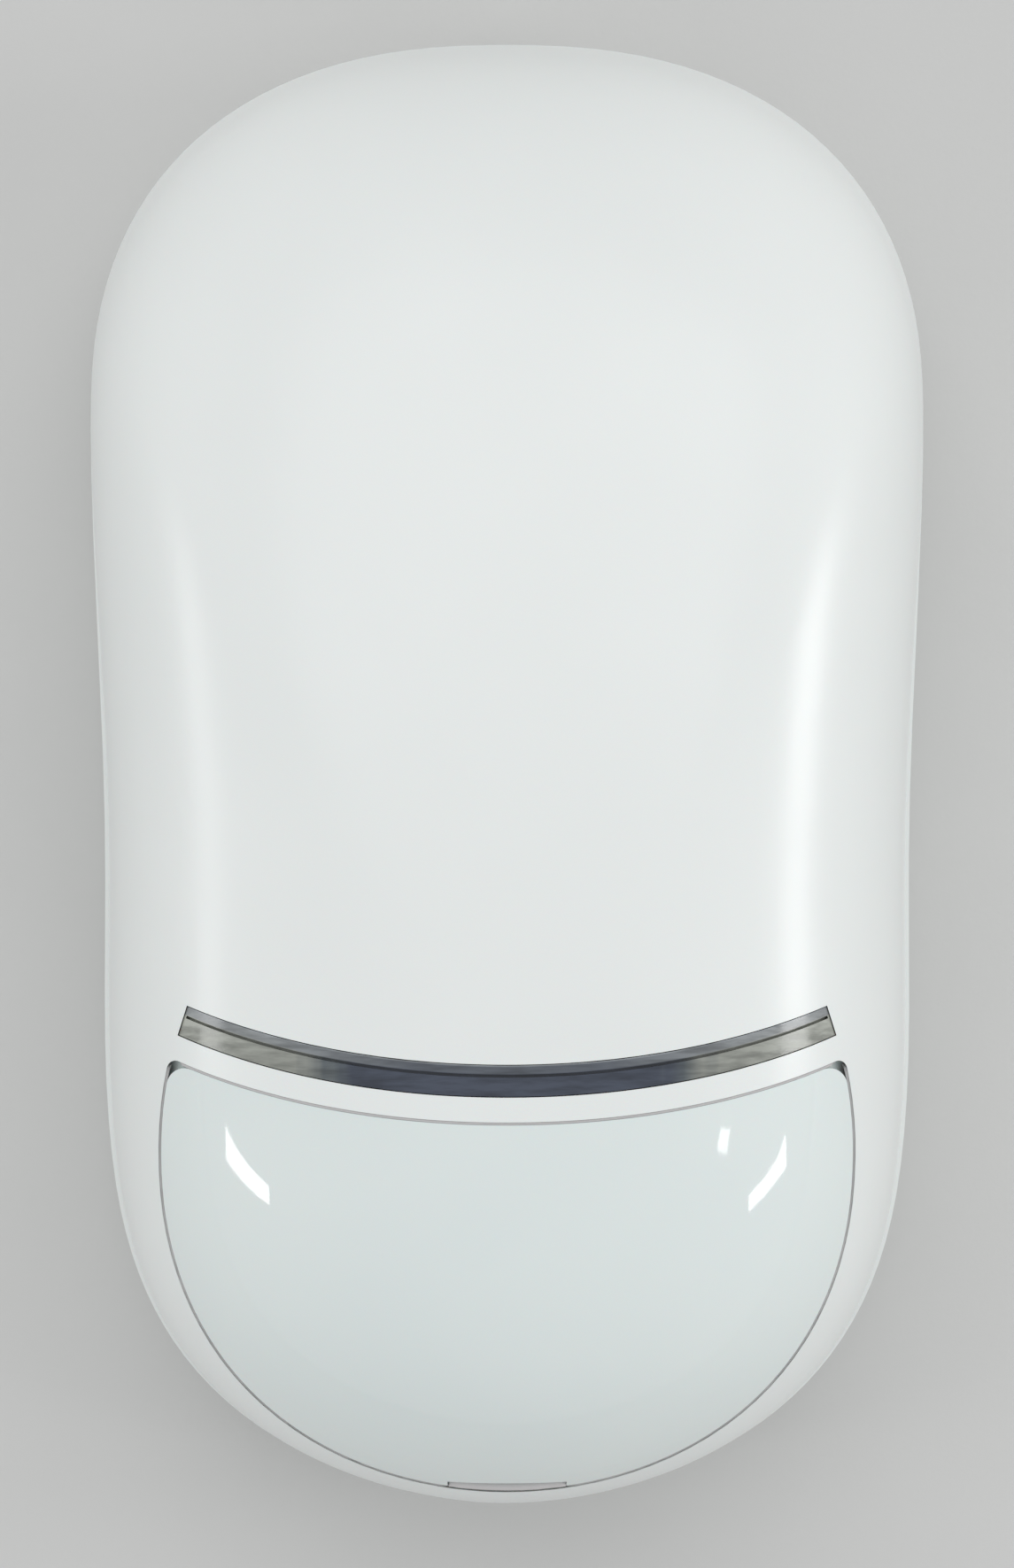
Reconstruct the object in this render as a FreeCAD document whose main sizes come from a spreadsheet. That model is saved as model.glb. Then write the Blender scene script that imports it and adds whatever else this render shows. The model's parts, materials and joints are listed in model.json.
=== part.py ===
# Wall-mounted intruder motion sensor, lying on its back as photographed.
# Frame in millimetres: +X right, +Y towards the top of the case, +Z out of the wall,
# with the origin at the centre of the flat back that goes against the wall.
import FreeCAD
import Part
import Sketcher
import math
import os
from FreeCAD import Placement, Rotation, Vector

os.makedirs("parts", exist_ok=True)
doc = FreeCAD.newDocument("motion_sensor")

SIZES = [
    # case outline, seen from the front
    ("case_height", 136.5),
    ("top_half_width", 39.0),
    ("waist_half_width", 37.3),
    ("top_bow_length", 34.75),
    ("bottom_bow_length", 54.25),
    ("waist_taper_length", 42.5),
    # domed cover
    ("base_depth", 13.0),
    ("dome_rise", 36.0),
    ("dome_draft", 0.12),
    ("dome_lean", 0.05),
    ("crest_drop", 25.5),
    ("cover_wall", 2.0),
    # tinted indicator strip and the arcs that it shares with the lens
    ("arc_centre_height", 62.5),
    ("strip_radius", 87.4),
    ("strip_height", 2.8),
    ("strip_half_angle", 18.6),
    ("strip_depth", 1.4),
    ("strip_inset", 0.15),
    ("strip_clearance", 0.08),
    ("strip_crease_drop", 0.85),
    ("strip_crease_width", 0.25),
    ("strip_crease_depth", 0.45),
    ("strip_slot_half_angle", 9.6),
    ("strip_ledge", 0.45),
    ("land_height", 2.1),
    # lens
    ("lens_drop", 34.0),
    ("lens_half_width", 30.7),
    ("lens_half_height", 30.3),
    ("lens_gap", 0.25),
    ("lens_corner", 0.9),
    ("lens_rebate", 1.0),
    ("lens_inset", 0.1),
    ("lens_thickness", 1.1),
    ("lens_flange_width", 1.2),
    ("lens_flange_thickness", 0.8),
    ("lens_seat_height", 14.0),
    ("lens_lip_width", 10.6),
    ("lens_lip_height", 0.95),
    ("lens_lip_depth", 0.45),
    ("retainer_width", 3.2),
    ("retainer_thickness", 1.4),
    # back housing
    ("base_wall", 2.0),
    ("base_floor", 2.0),
    ("base_draft", 1.3),
    ("base_edge", 1.0),
    ("rim_belly", 0.35),
    ("lip_height", 1.2),
    ("lip_thickness", 1.0),
    ("lip_clearance", 0.55),
    ("screw_hole_diameter", 4.2),
    ("top_hole_height", 57.5),
    ("bottom_hole_drop", 47.0),
    ("knockout_diameter", 7.0),
    ("knockout_x", 15.0),
    ("knockout_height", 30.0),
    ("groove_width", 0.6),
    ("groove_depth", 0.9),
    ("label_width", 34.0),
    ("label_height", 20.0),
    ("label_depth", 0.3),
    ("breakout_diameter", 13.0),
    # top hooks that the cover swings on
    ("hook_spacing", 16.0),
    ("hook_width", 6.0),
    ("hook_thickness", 1.6),
    ("hook_reach", 3.2),
    ("hook_lip", 0.9),
    ("hook_clearance", 0.35),
    ("hook_swing", 1.1),
    # main board
    ("board_width", 60.0),
    ("board_length", 92.0),
    ("board_thickness", 1.6),
    ("board_corner", 15.0),
    ("board_shift", 6.0),
    ("standoff_height", 6.5),
    ("standoff_diameter", 6.0),
    ("standoff_inset", 6.5),
    ("standoff_end_inset", 7.5),
    ("board_screw_diameter", 2.2),
    ("board_screw_head", 4.6),
    ("board_screw_head_height", 1.7),
    ("thread_clearance", 0.05),
    # battery and holder
    ("battery_diameter", 17.0),
    ("battery_length", 34.5),
    ("nub_diameter", 6.0),
    ("nub_length", 1.0),
    ("battery_height", 37.0),
    ("battery_shift", 1.5),
    ("holder_clearance", 0.3),
    ("holder_wall", 1.4),
    ("holder_end", 2.0),
    ("holder_floor", 1.2),
    ("contact_thickness", 0.5),
    ("battery_spring_length", 1.9),
    ("battery_spring_width", 6.0),
    ("battery_spring_span", 8.5),
    ("battery_spring_thickness", 0.3),
    # microwave module
    ("module_width", 36.0),
    ("module_length", 33.0),
    ("module_thickness", 1.0),
    ("module_height", 7.0),
    ("pillar_height", 17.5),
    ("pillar_diameter", 3.2),
    ("patch_side", 8.0),
    ("patch_pitch", 14.0),
    ("patch_thickness", 0.15),
    ("module_can_side", 20.0),
    ("module_can_height", 4.0),
    ("pin_side", 0.64),
    ("pin_pitch", 2.54),
    # sensor board, pyroelectric sensor, optics
    ("sensor_board_width", 38.0),
    ("sensor_board_height", 30.5),
    ("sensor_board_thickness", 1.2),
    ("sensor_board_drop", 26.4),
    ("pyro_diameter", 8.3),
    ("pyro_flange_diameter", 9.2),
    ("pyro_flange_thickness", 0.6),
    ("pyro_length", 4.2),
    ("pyro_height", 14.0),
    ("pyro_window_side", 4.0),
    ("pyro_window_thickness", 0.4),
    ("lead_diameter", 0.46),
    ("lead_circle", 5.08),
    ("gasket_thickness", 0.5),
    ("optics_width", 42.0),
    ("optics_length", 23.5),
    ("optics_depth", 18.0),
    ("optics_wall", 1.6),
    ("mirror_width", 38.0),
    ("mirror_facet_radius", 17.0),
    ("mirror_facet_depth", 0.9),
    ("led_side", 1.8),
    ("led_height", 1.0),
    ("led_pitch", 4.0),
    ("emitter_diameter", 3.0),
    ("emitter_height", 1.5),
    ("emitter_spacing", 24.0),
    # tamper switch
    ("tamper_x", 24.5),
    ("tamper_y", 12.0),
    ("tamper_body_side", 8.0),
    ("tamper_body_height", 7.0),
    ("tamper_stem_diameter", 4.0),
    ("tamper_flange_diameter", 6.6),
    ("tamper_flange_height", 4.0),
    ("tamper_flange_thickness", 1.0),
    ("tamper_tip_height", 5.5),
    ("tamper_wire", 0.45),
    ("tamper_turns", 4.0),
    ("running_clearance", 0.06),
    ("rib_diameter", 5.0),
    ("rib_gap", 0.05),
    # enrol button
    ("button_x", -23.0),
    ("button_y", -15.0),
    ("button_body_side", 6.0),
    ("button_body_height", 3.4),
    ("button_diameter", 3.4),
    ("button_length", 2.9),
    ("button_sink", 1.4),
    # range trimmer
    ("trimmer_x", 23.0),
    ("trimmer_y", -8.0),
    ("trimmer_side", 6.6),
    ("trimmer_height", 3.6),
    ("rotor_diameter", 4.4),
    ("rotor_depth", 1.4),
    ("rotor_slot_width", 0.8),
    ("rotor_slot_depth", 0.6),
    # radio
    ("radio_x", -23.2),
    ("radio_y", 6.0),
    ("radio_width", 11.0),
    ("radio_length", 17.0),
    ("radio_height", 2.6),
    ("antenna_x", -25.5),
    ("antenna_y", 32.0),
    ("antenna_diameter", 5.0),
    ("antenna_wire", 0.8),
    ("antenna_pitch", 2.2),
    ("antenna_turns", 7.0),
    # loose components on the board
    ("capacitor_x", 25.5),
    ("capacitor_y", 26.0),
    ("capacitor_pitch", 8.0),
    ("capacitor_diameter", 6.3),
    ("capacitor_height", 7.7),
    ("chip_x", 0.0),
    ("chip_y", -18.0),
    ("chip_side", 9.0),
    ("chip_height", 1.3),
    # cover screw
    ("screw_height", 19.0),
    ("screw_diameter", 2.9),
    ("screw_head_diameter", 5.4),
    ("screw_head_length", 2.0),
    ("screw_length", 12.2),
    ("screw_slot_width", 0.9),
    ("screw_slot_depth", 0.9),
    ("screw_web", 1.4),
    ("screw_recess", 3.3),
    ("boss_width", 8.0),
    ("boss_length", 6.0),
    ("boss_gap", 0.5),
    ("screw_travel", 2.5),
    ("ring_diameter", 5.6),
    ("ring_thickness", 0.8),
]

sheet = doc.addObject("Spreadsheet::Sheet", "Sizes")
for row, (alias, number) in enumerate(SIZES, 1):
    sheet.set(f"A{row}", alias)
    sheet.set(f"B{row}", str(number))
    sheet.setAlias(f"B{row}", alias)
doc.recompute()


def size(alias):
    """A driving dimension, read from the sheet."""
    return float(sheet.get(alias))


# Shape numbers of the outline's two ends and of the dome's section
TOP_SQUARE = 2.36
BOTTOM_SQUARE = 3.8
BOTTOM_POINT = 1.85
DOME_SQUARE = 3.0
LENS_SQUARE = 2.12
CORNER_SHARE = -4.0
END_STEPS = 10
WAIST_STEPS = 5
DOME_STEPS = 12
TALL = 200.0

crest_y = -size("crest_drop")
base_depth = size("base_depth")
board_top = size("base_floor") + size("standoff_height") + size("board_thickness")
parts = {}
domes = {}


# Curves and solids of the case


def outline_points(grow, belly):
    """Case outline from its bottom up the right side, then its mirror image.

    It is grown by a distance, and by a belly more at its waist.
    """
    half_height = size("case_height") / 2
    wide = size("top_half_width") + grow
    waist = size("waist_half_width") + grow + belly
    wide_y = half_height - size("top_bow_length")
    waist_y = size("bottom_bow_length") - half_height
    top_reach = size("top_bow_length") + grow
    bottom_reach = size("bottom_bow_length") + grow
    right = []
    for step in range(END_STEPS + 1):
        angle = math.pi / 2 * step / END_STEPS
        across = math.sin(angle) ** (2 / BOTTOM_POINT)
        down = max(0.0, math.cos(angle)) ** (2 / BOTTOM_SQUARE) if step < END_STEPS else 0.0
        right.append(Vector(waist * across, waist_y - bottom_reach * down, 0))
    for step in range(1, WAIST_STEPS):
        y = waist_y + (wide_y - waist_y) * step / WAIST_STEPS
        share = min(1.0, max(0.0, 1 - (wide_y - y) / size("waist_taper_length")))
        blend = share * share * (3 - 2 * share)
        right.append(Vector(waist + (wide - waist) * blend, y, 0))
    for step in range(END_STEPS + 1):
        angle = math.pi / 2 * step / END_STEPS
        across = math.cos(angle) ** (2 / TOP_SQUARE) if step < END_STEPS else 0.0
        up = math.sin(angle) ** (2 / TOP_SQUARE)
        right.append(Vector(wide * across, wide_y + top_reach * up, 0))
    left = [Vector(-p.x, p.y, 0) for p in reversed(right[1:-1])]
    return right + left


def outline_curve(grow, belly=0.0):
    curve = Part.BSplineCurve()
    curve.interpolate(outline_points(grow, belly), PeriodicFlag=True)
    return curve


def outline_wire(grow, z, belly=0.0):
    wire = Part.Wire(outline_curve(grow, belly).toShape())
    wire.translate(Vector(0, 0, z))
    return wire


def dome_section():
    """Section of the dome from its crest to its rim: reach, rise, and the two multiplied."""
    points = []
    for step in range(DOME_STEPS + 1):
        angle = math.pi / 2 * step / DOME_STEPS
        rise = math.cos(angle) ** (2 / DOME_SQUARE) if step < DOME_STEPS else 0.0
        reach = math.sin(angle) ** (2 / DOME_SQUARE) * (1 - size("dome_draft") * rise)
        points.append(Vector(reach, rise, reach * rise))
    section = Part.BSplineCurve()
    section.interpolate(points)
    return section


def dome(grow):
    """The domed front as a solid on the seam plane, grown (or shrunk) by a distance."""
    grow = round(grow, 6)
    if grow not in domes:
        domes[grow] = make_dome(grow)
    return domes[grow]


def make_dome(grow):
    rim = outline_curve(grow)
    section = dome_section()
    rise = size("dome_rise") + grow
    rows = []
    for r in rim.getPoles():
        row = []
        for s in section.getPoles():
            z = base_depth + rise * s.y - size("dome_lean") * s.z * (r.y - crest_y)
            row.append(Vector(s.x * r.x, crest_y + s.x * (r.y - crest_y), z))
        rows.append(row)
    surface = Part.BSplineSurface()
    surface.buildFromPolesMultsKnots(
        rows,
        rim.getMultiplicities(),
        section.getMultiplicities(),
        rim.getKnots(),
        section.getKnots(),
        True,
        False,
        rim.Degree,
        section.Degree,
    )
    shell = Part.Shell([surface.toShape(), Part.Face(outline_wire(grow, base_depth))])
    shell.sewShape()
    solid = Part.Solid(shell)
    if solid.Volume < 0:
        solid.reverse()
    return solid


def skin(region, top, bottom):
    """The part of an upright region that lies between two depths under the dome's surface."""
    return region.common(dome(-top)).cut(dome(-bottom))


def sector(inner, outer, half_angle):
    """Upright prism of a ring sector that hangs below the arcs' common centre."""
    centre = Vector(0, size("arc_centre_height"), 0)

    def at(radius, degrees):
        angle = math.radians(degrees - 90)
        return centre + Vector(radius * math.cos(angle), radius * math.sin(angle), 0)

    edges = [
        Part.Arc(at(inner, -half_angle), at(inner, 0), at(inner, half_angle)).toShape(),
        Part.makeLine(at(inner, half_angle), at(outer, half_angle)),
        Part.Arc(at(outer, half_angle), at(outer, 0), at(outer, -half_angle)).toShape(),
        Part.makeLine(at(outer, -half_angle), at(inner, -half_angle)),
    ]
    return Part.Face(Part.Wire(edges)).extrude(Vector(0, 0, TALL))


def lens_region(grow, foot):
    """Upright prism of the lens outline: a full round, cut off at its top by the strip's arc."""
    points = []
    for step in range(4 * END_STEPS):
        angle = 2 * math.pi * step / (4 * END_STEPS)
        across = math.copysign(abs(math.cos(angle)) ** (2 / LENS_SQUARE), math.cos(angle))
        up = math.copysign(abs(math.sin(angle)) ** (2 / LENS_SQUARE), math.sin(angle))
        x = (size("lens_half_width") + grow) * across
        y = (size("lens_half_height") + grow) * up - size("lens_drop")
        points.append(Vector(x, y, foot))
    round_curve = Part.BSplineCurve()
    round_curve.interpolate(points, PeriodicFlag=True)
    round_prism = Part.Face(Part.Wire(round_curve.toShape())).extrude(Vector(0, 0, TALL))
    top_radius = size("strip_radius") + size("strip_height") + size("land_height") - grow
    centre = Vector(0, size("arc_centre_height"), 0)
    region = round_prism.cut(Part.makeCylinder(top_radius, 2 * TALL, centre))
    corners = [edge for edge in region.Edges if is_upright(edge) and is_corner(edge)]
    return region.makeFillet(max(size("lens_corner") + grow * CORNER_SHARE, size("lens_gap")), corners)


def is_upright(edge):
    return abs(edge.tangentAt(edge.FirstParameter).z) > 0.99


def is_corner(edge):
    """Whether an upright edge of the lens prism is one of its two top corners."""
    x, y, _ = edge.CenterOfMass
    return abs(x) > size("lens_half_width") / 2 and y > -size("lens_drop")


def block(x0, x1, y0, y1, z0, z1):
    return Part.makeBox(x1 - x0, y1 - y0, z1 - z0, Vector(x0, y0, z0))


def upright(diameter, x, y, z0, z1):
    return Part.makeCylinder(diameter / 2, z1 - z0, Vector(x, y, z0))


def along_y(diameter, x, y0, y1, z):
    return Part.makeCylinder(diameter / 2, y1 - y0, Vector(x, y0, z), Vector(0, 1, 0))


def spring(radius, wire, rise, turns, foot):
    """Round wire wound about +Z in quarter-turn arcs. Radius and rise are the centre line's."""

    def at(quarters):
        angle = quarters * math.pi / 2
        level = rise * quarters / (4 * turns)
        return foot + Vector(radius * math.cos(angle), radius * math.sin(angle), level)

    arcs = [Part.Arc(at(q), at(q + 0.5), at(q + 1)).toShape() for q in range(round(4 * turns))]
    start = arcs[0].tangentAt(arcs[0].FirstParameter)
    section = Part.Wire(Part.makeCircle(wire / 2, at(0), start))
    return Part.Wire(arcs).makePipeShell([section], True, False)


def keep(label, shape):
    """Adds a sub-part whose shape is made by the functions above."""
    feature = doc.addObject("Part::Feature", label)
    feature.Label = label
    feature.Shape = shape
    parts[label] = feature
    return feature


# Bodies and primitives whose sizes are bound to the sheet


def bind(thing, **expressions):
    """Binds properties to sheet expressions. A double underscore stands for a dot."""
    for name, expression in expressions.items():
        thing.setExpression(name.replace("__", "."), expression)


def put(thing, x, y, z):
    bind(thing, Placement__Base__x=x, Placement__Base__y=y, Placement__Base__z=z)


def sized(names):
    """Turns a formula of aliases, such as {board_width}/2, into a sheet expression."""
    for alias, _ in SIZES:
        names = names.replace("{" + alias + "}", "Sizes." + alias)
    return names


BOARD_BOTTOM = sized("{base_floor}+{standoff_height}")
BOARD_TOP = sized("{base_floor}+{standoff_height}+{board_thickness}")


def box(name, length, width, height, x, y, z):
    """A block with its corner at x, y, z."""
    solid = doc.addObject("Part::Box", name)
    bind(solid, Length=sized(length), Width=sized(width), Height=sized(height))
    put(solid, sized(x), sized(y), sized(z))
    return solid


def rod(name, diameter, height, x, y, z, direction=Vector(0, 0, 1)):
    """A cylinder that starts at x, y, z and runs along a direction."""
    solid = doc.addObject("Part::Cylinder", name)
    bind(solid, Radius=sized(f"({diameter})/2"), Height=sized(height))
    solid.Placement = Placement(Vector(), Rotation(Vector(0, 0, 1), direction))
    put(solid, sized(x), sized(y), sized(z))
    return solid


def less(label, base, *tools):
    """Base with tools cut out of it."""
    solid = base
    for number, tool in enumerate(tools, 1):
        cut = doc.addObject("Part::Cut", label if tool is tools[-1] else f"{label}_cut_{number}")
        cut.Base = solid
        cut.Tool = tool
        solid = cut
    return solid


def group(label, *solids):
    """Several separate solids that share one name."""
    compound = doc.addObject("Part::Compound", label)
    compound.Links = list(solids)
    return compound


def part(label, thing):
    """Declares a document object as a finished sub-part."""
    thing.Label = label
    parts[label] = thing
    return thing


def sketch_on(body, plane, corners):
    """A closed outline with straight sides, each corner pinned to a pair of sheet expressions."""
    sketch = body.newObject("Sketcher::SketchObject", body.Name + "_sketch")
    origin_plane = next(f for f in body.Origin.OriginFeatures if f.Role == plane)
    sketch.AttachmentSupport = [(origin_plane, "")]
    sketch.MapMode = "FlatFace"
    corners = [(sized(x), sized(y)) for x, y in corners]
    values = [(float(sheet.evalExpression(x)), float(sheet.evalExpression(y))) for x, y in corners]
    count = len(corners)
    for index in range(count):
        start = Vector(*values[index], 0)
        end = Vector(*values[(index + 1) % count], 0)
        sketch.addGeometry(Part.LineSegment(start, end), False)
    for index in range(count):
        sketch.addConstraint(Sketcher.Constraint("Coincident", index, 2, (index + 1) % count, 1))
    axes = (("x", "DistanceX", -2), ("y", "DistanceY", -1))
    for index in range(count):
        for (letter, kind, axis), expression, number in zip(axes, corners[index], values[index]):
            if expression == "0":
                sketch.addConstraint(Sketcher.Constraint("PointOnObject", index, 1, axis))
                continue
            made = sketch.addConstraint(Sketcher.Constraint(kind, -1, 1, index, 1, number))
            sketch.renameConstraint(made, f"{letter}{index}")
            sketch.setExpression(f"Constraints.{letter}{index}", expression)
    return sketch


def turned(label, corners, x, y, z, direction=Vector(0, 0, 1)):
    """A lathe-turned piece: its section is given as radius and height above its foot."""
    body = doc.addObject("PartDesign::Body", label)
    sketch = sketch_on(body, "XZ_Plane", corners)
    spin = body.newObject("PartDesign::Revolution", label + "_spin")
    spin.Profile = sketch
    spin.ReferenceAxis = (sketch, ["V_Axis"])
    spin.Angle = 360.0
    sketch.Visibility = False
    body.Placement = Placement(Vector(), Rotation(Vector(0, 0, 1), direction))
    put(body, sized(x), sized(y), sized(z))
    doc.recompute()
    return body


def plate(label, length, width, thickness, corner, x, y, z):
    """A flat board with its four corners rounded, drawn as a sketch and padded."""
    body = doc.addObject("PartDesign::Body", label)
    corners = [("0", "0"), (length, "0"), (length, width), ("0", width)]
    sketch = sketch_on(body, "XY_Plane", corners)
    pad = body.newObject("PartDesign::Pad", label + "_pad")
    pad.Profile = sketch
    bind(pad, Length=sized(thickness))
    sketch.Visibility = False
    put(body, sized(x), sized(y), sized(z))
    doc.recompute()
    if corner:
        upright_edges = [
            f"Edge{number}"
            for number, edge in enumerate(pad.Shape.Edges, 1)
            if abs(edge.tangentAt(edge.FirstParameter).z) > 0.99
        ]
        rounding = body.newObject("PartDesign::Fillet", label + "_corners")
        rounding.Base = (pad, upright_edges)
        bind(rounding, Radius=sized(corner))
        doc.recompute()
    return body


def through_holes(body, label, centres, diameter):
    """Pockets round holes right through a body that stands on its own XY plane."""
    sketch = body.newObject("Sketcher::SketchObject", label + "_sketch")
    origin_plane = next(f for f in body.Origin.OriginFeatures if f.Role == "XY_Plane")
    sketch.AttachmentSupport = [(origin_plane, "")]
    sketch.MapMode = "FlatFace"
    radius = sized(f"({diameter})/2")
    radius_now = float(sheet.evalExpression(radius))
    for index, (x, y) in enumerate(centres):
        x, y = sized(x), sized(y)
        centre = Vector(float(sheet.evalExpression(x)), float(sheet.evalExpression(y)), 0)
        sketch.addGeometry(Part.Circle(centre, Vector(0, 0, 1), radius_now), False)
        rules = (
            (f"x{index}", x, ("DistanceX", -1, 1, index, 3, centre.x)),
            (f"y{index}", y, ("DistanceY", -1, 1, index, 3, centre.y)),
            (f"r{index}", radius, ("Radius", index, radius_now)),
        )
        for name, expression, rule in rules:
            made = sketch.addConstraint(Sketcher.Constraint(*rule))
            sketch.renameConstraint(made, name)
            sketch.setExpression(f"Constraints.{name}", expression)
    pocket = body.newObject("PartDesign::Pocket", label)
    pocket.Profile = sketch
    pocket.Type = "ThroughAll"
    pocket.Midplane = True
    sketch.Visibility = False
    doc.recompute()


# Places that several pieces share

board_screw_x = size("board_width") / 2 - size("standoff_inset")
board_y0 = size("board_shift") - size("board_length") / 2
board_y1 = size("board_shift") + size("board_length") / 2
standoff_low_y = board_y0 + size("standoff_inset")
standoff_high_y = board_y1 - size("standoff_end_inset")
sensor_y = -size("sensor_board_drop")
pyro_z = board_top + size("pyro_height")
optics_y1 = sensor_y - size("sensor_board_thickness") - size("gasket_thickness")
optics_y0 = optics_y1 - size("optics_length")
tamper_tip_z = board_top + size("tamper_body_height")
tamper_tip_z += size("tamper_flange_height") + size("tamper_tip_height")
case_bottom_y = -size("case_height") / 2
screw_z = size("screw_height")
lens_seat_z = base_depth + size("lens_seat_height")
seat_y = case_bottom_y + size("screw_recess")
web_y = seat_y + size("screw_web")
boss_y = web_y + size("boss_gap")
boss_end_y = boss_y + size("boss_length")
ring_y = boss_end_y + size("screw_travel")
hook_y = size("case_height") / 2 - size("base_wall") - size("base_draft") / 2
hinge_y = size("case_height") / 2


def front_cover():
    """Domed white shell, with the strip's pocket, the lens opening, top hooks and the screw notch."""
    wall = size("cover_wall")
    strip_inner = size("strip_radius")
    strip_outer = strip_inner + size("strip_height")
    ledge = size("strip_ledge")
    pocket = sector(strip_inner, strip_outer, size("strip_half_angle"))
    flange_room = lens_region(size("lens_flange_width") + size("lens_gap"), lens_seat_z)
    openings = [
        dome(-wall),
        pocket.cut(dome(-size("strip_depth"))),
        sector(strip_inner + ledge, strip_outer - ledge, size("strip_slot_half_angle")),
        lens_region(0, lens_seat_z),
        flange_room.common(dome(-size("lens_rebate"))),
    ]
    shell = dome(0).cut(openings)
    rib_foot = tamper_tip_z + size("rib_gap")
    rib = upright(size("rib_diameter"), size("tamper_x"), size("tamper_y"), rib_foot, TALL)
    web_half = size("screw_head_diameter") / 2 + wall
    web = block(-web_half, web_half, case_bottom_y, web_y, base_depth, screw_z + web_half)
    inside = [piece.common(dome(-wall / 2)) for piece in (rib, web)]
    hooks = [hook(side * size("hook_spacing") / 2) for side in (-1, 1)]
    shell = shell.fuse(inside + hooks)
    head_room = size("screw_head_diameter") / 2 + size("boss_gap")
    shank_room = size("screw_diameter") / 2 + size("boss_gap")
    notches = [
        notch(head_room, case_bottom_y - wall, seat_y),
        notch(shank_room, case_bottom_y - wall, web_y + wall),
    ]
    return shell.cut(notches).removeSplitter()


def notch(half_width, y0, y1):
    """A slot for the cover screw, round at its top and open towards the seam."""
    slot = block(-half_width, half_width, y0, y1, base_depth - 1, screw_z)
    return slot.fuse(along_y(2 * half_width, 0, y0, y1, screw_z))


def hook(x):
    """A tongue inside the cover's top wall that reaches below the seam, with a lip pointing outwards."""
    half = size("hook_width") / 2
    outer_y = hook_y - size("hook_clearance")
    inner_y = outer_y - size("hook_thickness")
    foot_z = base_depth - size("hook_reach")
    root_z = base_depth + size("cover_wall") * 2
    tongue = block(x - half, x + half, inner_y, outer_y, foot_z, root_z)
    root = block(x - half, x + half, inner_y, hinge_y, base_depth, root_z)
    root = root.common(dome(-size("cover_wall") / 2))
    lip_top = foot_z + size("hook_thickness") / 2
    lip = block(x - half, x + half, inner_y, outer_y + size("hook_lip"), foot_z, lip_top)
    return tongue.fuse(root).fuse(lip)


def light_strip():
    """Smoke-tinted strip that sits in the cover's pocket, with a fine crease along its upper third."""
    clear = size("strip_clearance")
    inner = size("strip_radius")
    outer = inner + size("strip_height")
    half_angle = size("strip_half_angle")
    side_clear = math.degrees(clear / inner)
    region = sector(inner + clear, outer - clear, half_angle - side_clear)
    strip = skin(region, size("strip_inset"), size("strip_depth") - clear)
    crease_inner = inner + size("strip_crease_drop")
    crease_end = half_angle - math.degrees(size("strip_crease_width") / inner)
    crease = sector(crease_inner, crease_inner + size("strip_crease_width"), crease_end)
    return strip.cut(skin(crease, -1, size("strip_inset") + size("strip_crease_depth")))


def lens_window():
    """Glossy infra-red window, flush in its opening, with a flange in the cover's rebate."""
    gap = size("lens_gap")
    foot = lens_seat_z + gap
    flange_top = size("lens_rebate") + size("rib_gap")
    flange_bottom = flange_top + size("lens_flange_thickness")
    face_bottom = size("lens_inset") + size("lens_thickness")
    room = lens_region(-gap - size("lens_thickness"), 0)
    lip_half = size("lens_lip_width") / 2
    lip_y = -size("lens_drop") - size("lens_half_height")
    lip = block(-lip_half, lip_half, lip_y, lip_y + size("lens_lip_height") + gap, 0, TALL)
    lip_cut = lip.cut(dome(-size("lens_inset") - size("lens_lip_depth")))
    face = skin(lens_region(-gap, foot), size("lens_inset"), flange_bottom)
    face = face.cut([room.common(dome(-face_bottom)), lip_cut])
    flange = skin(lens_region(size("lens_flange_width"), foot), flange_top, flange_bottom).cut(room)
    return face.fuse(flange).removeSplitter()


def lens_retainer():
    """Frame that presses the lens flange against the inside of the cover."""
    top = size("lens_rebate") + size("lens_flange_thickness") + 2 * size("rib_gap")
    grow = size("lens_flange_width")
    room = lens_region(grow - size("retainer_width") - size("lens_thickness"), 0)
    ring = lens_region(grow, lens_seat_z + size("lens_gap")).cut(room)
    return skin(ring, top, top + size("retainer_thickness"))


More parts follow.
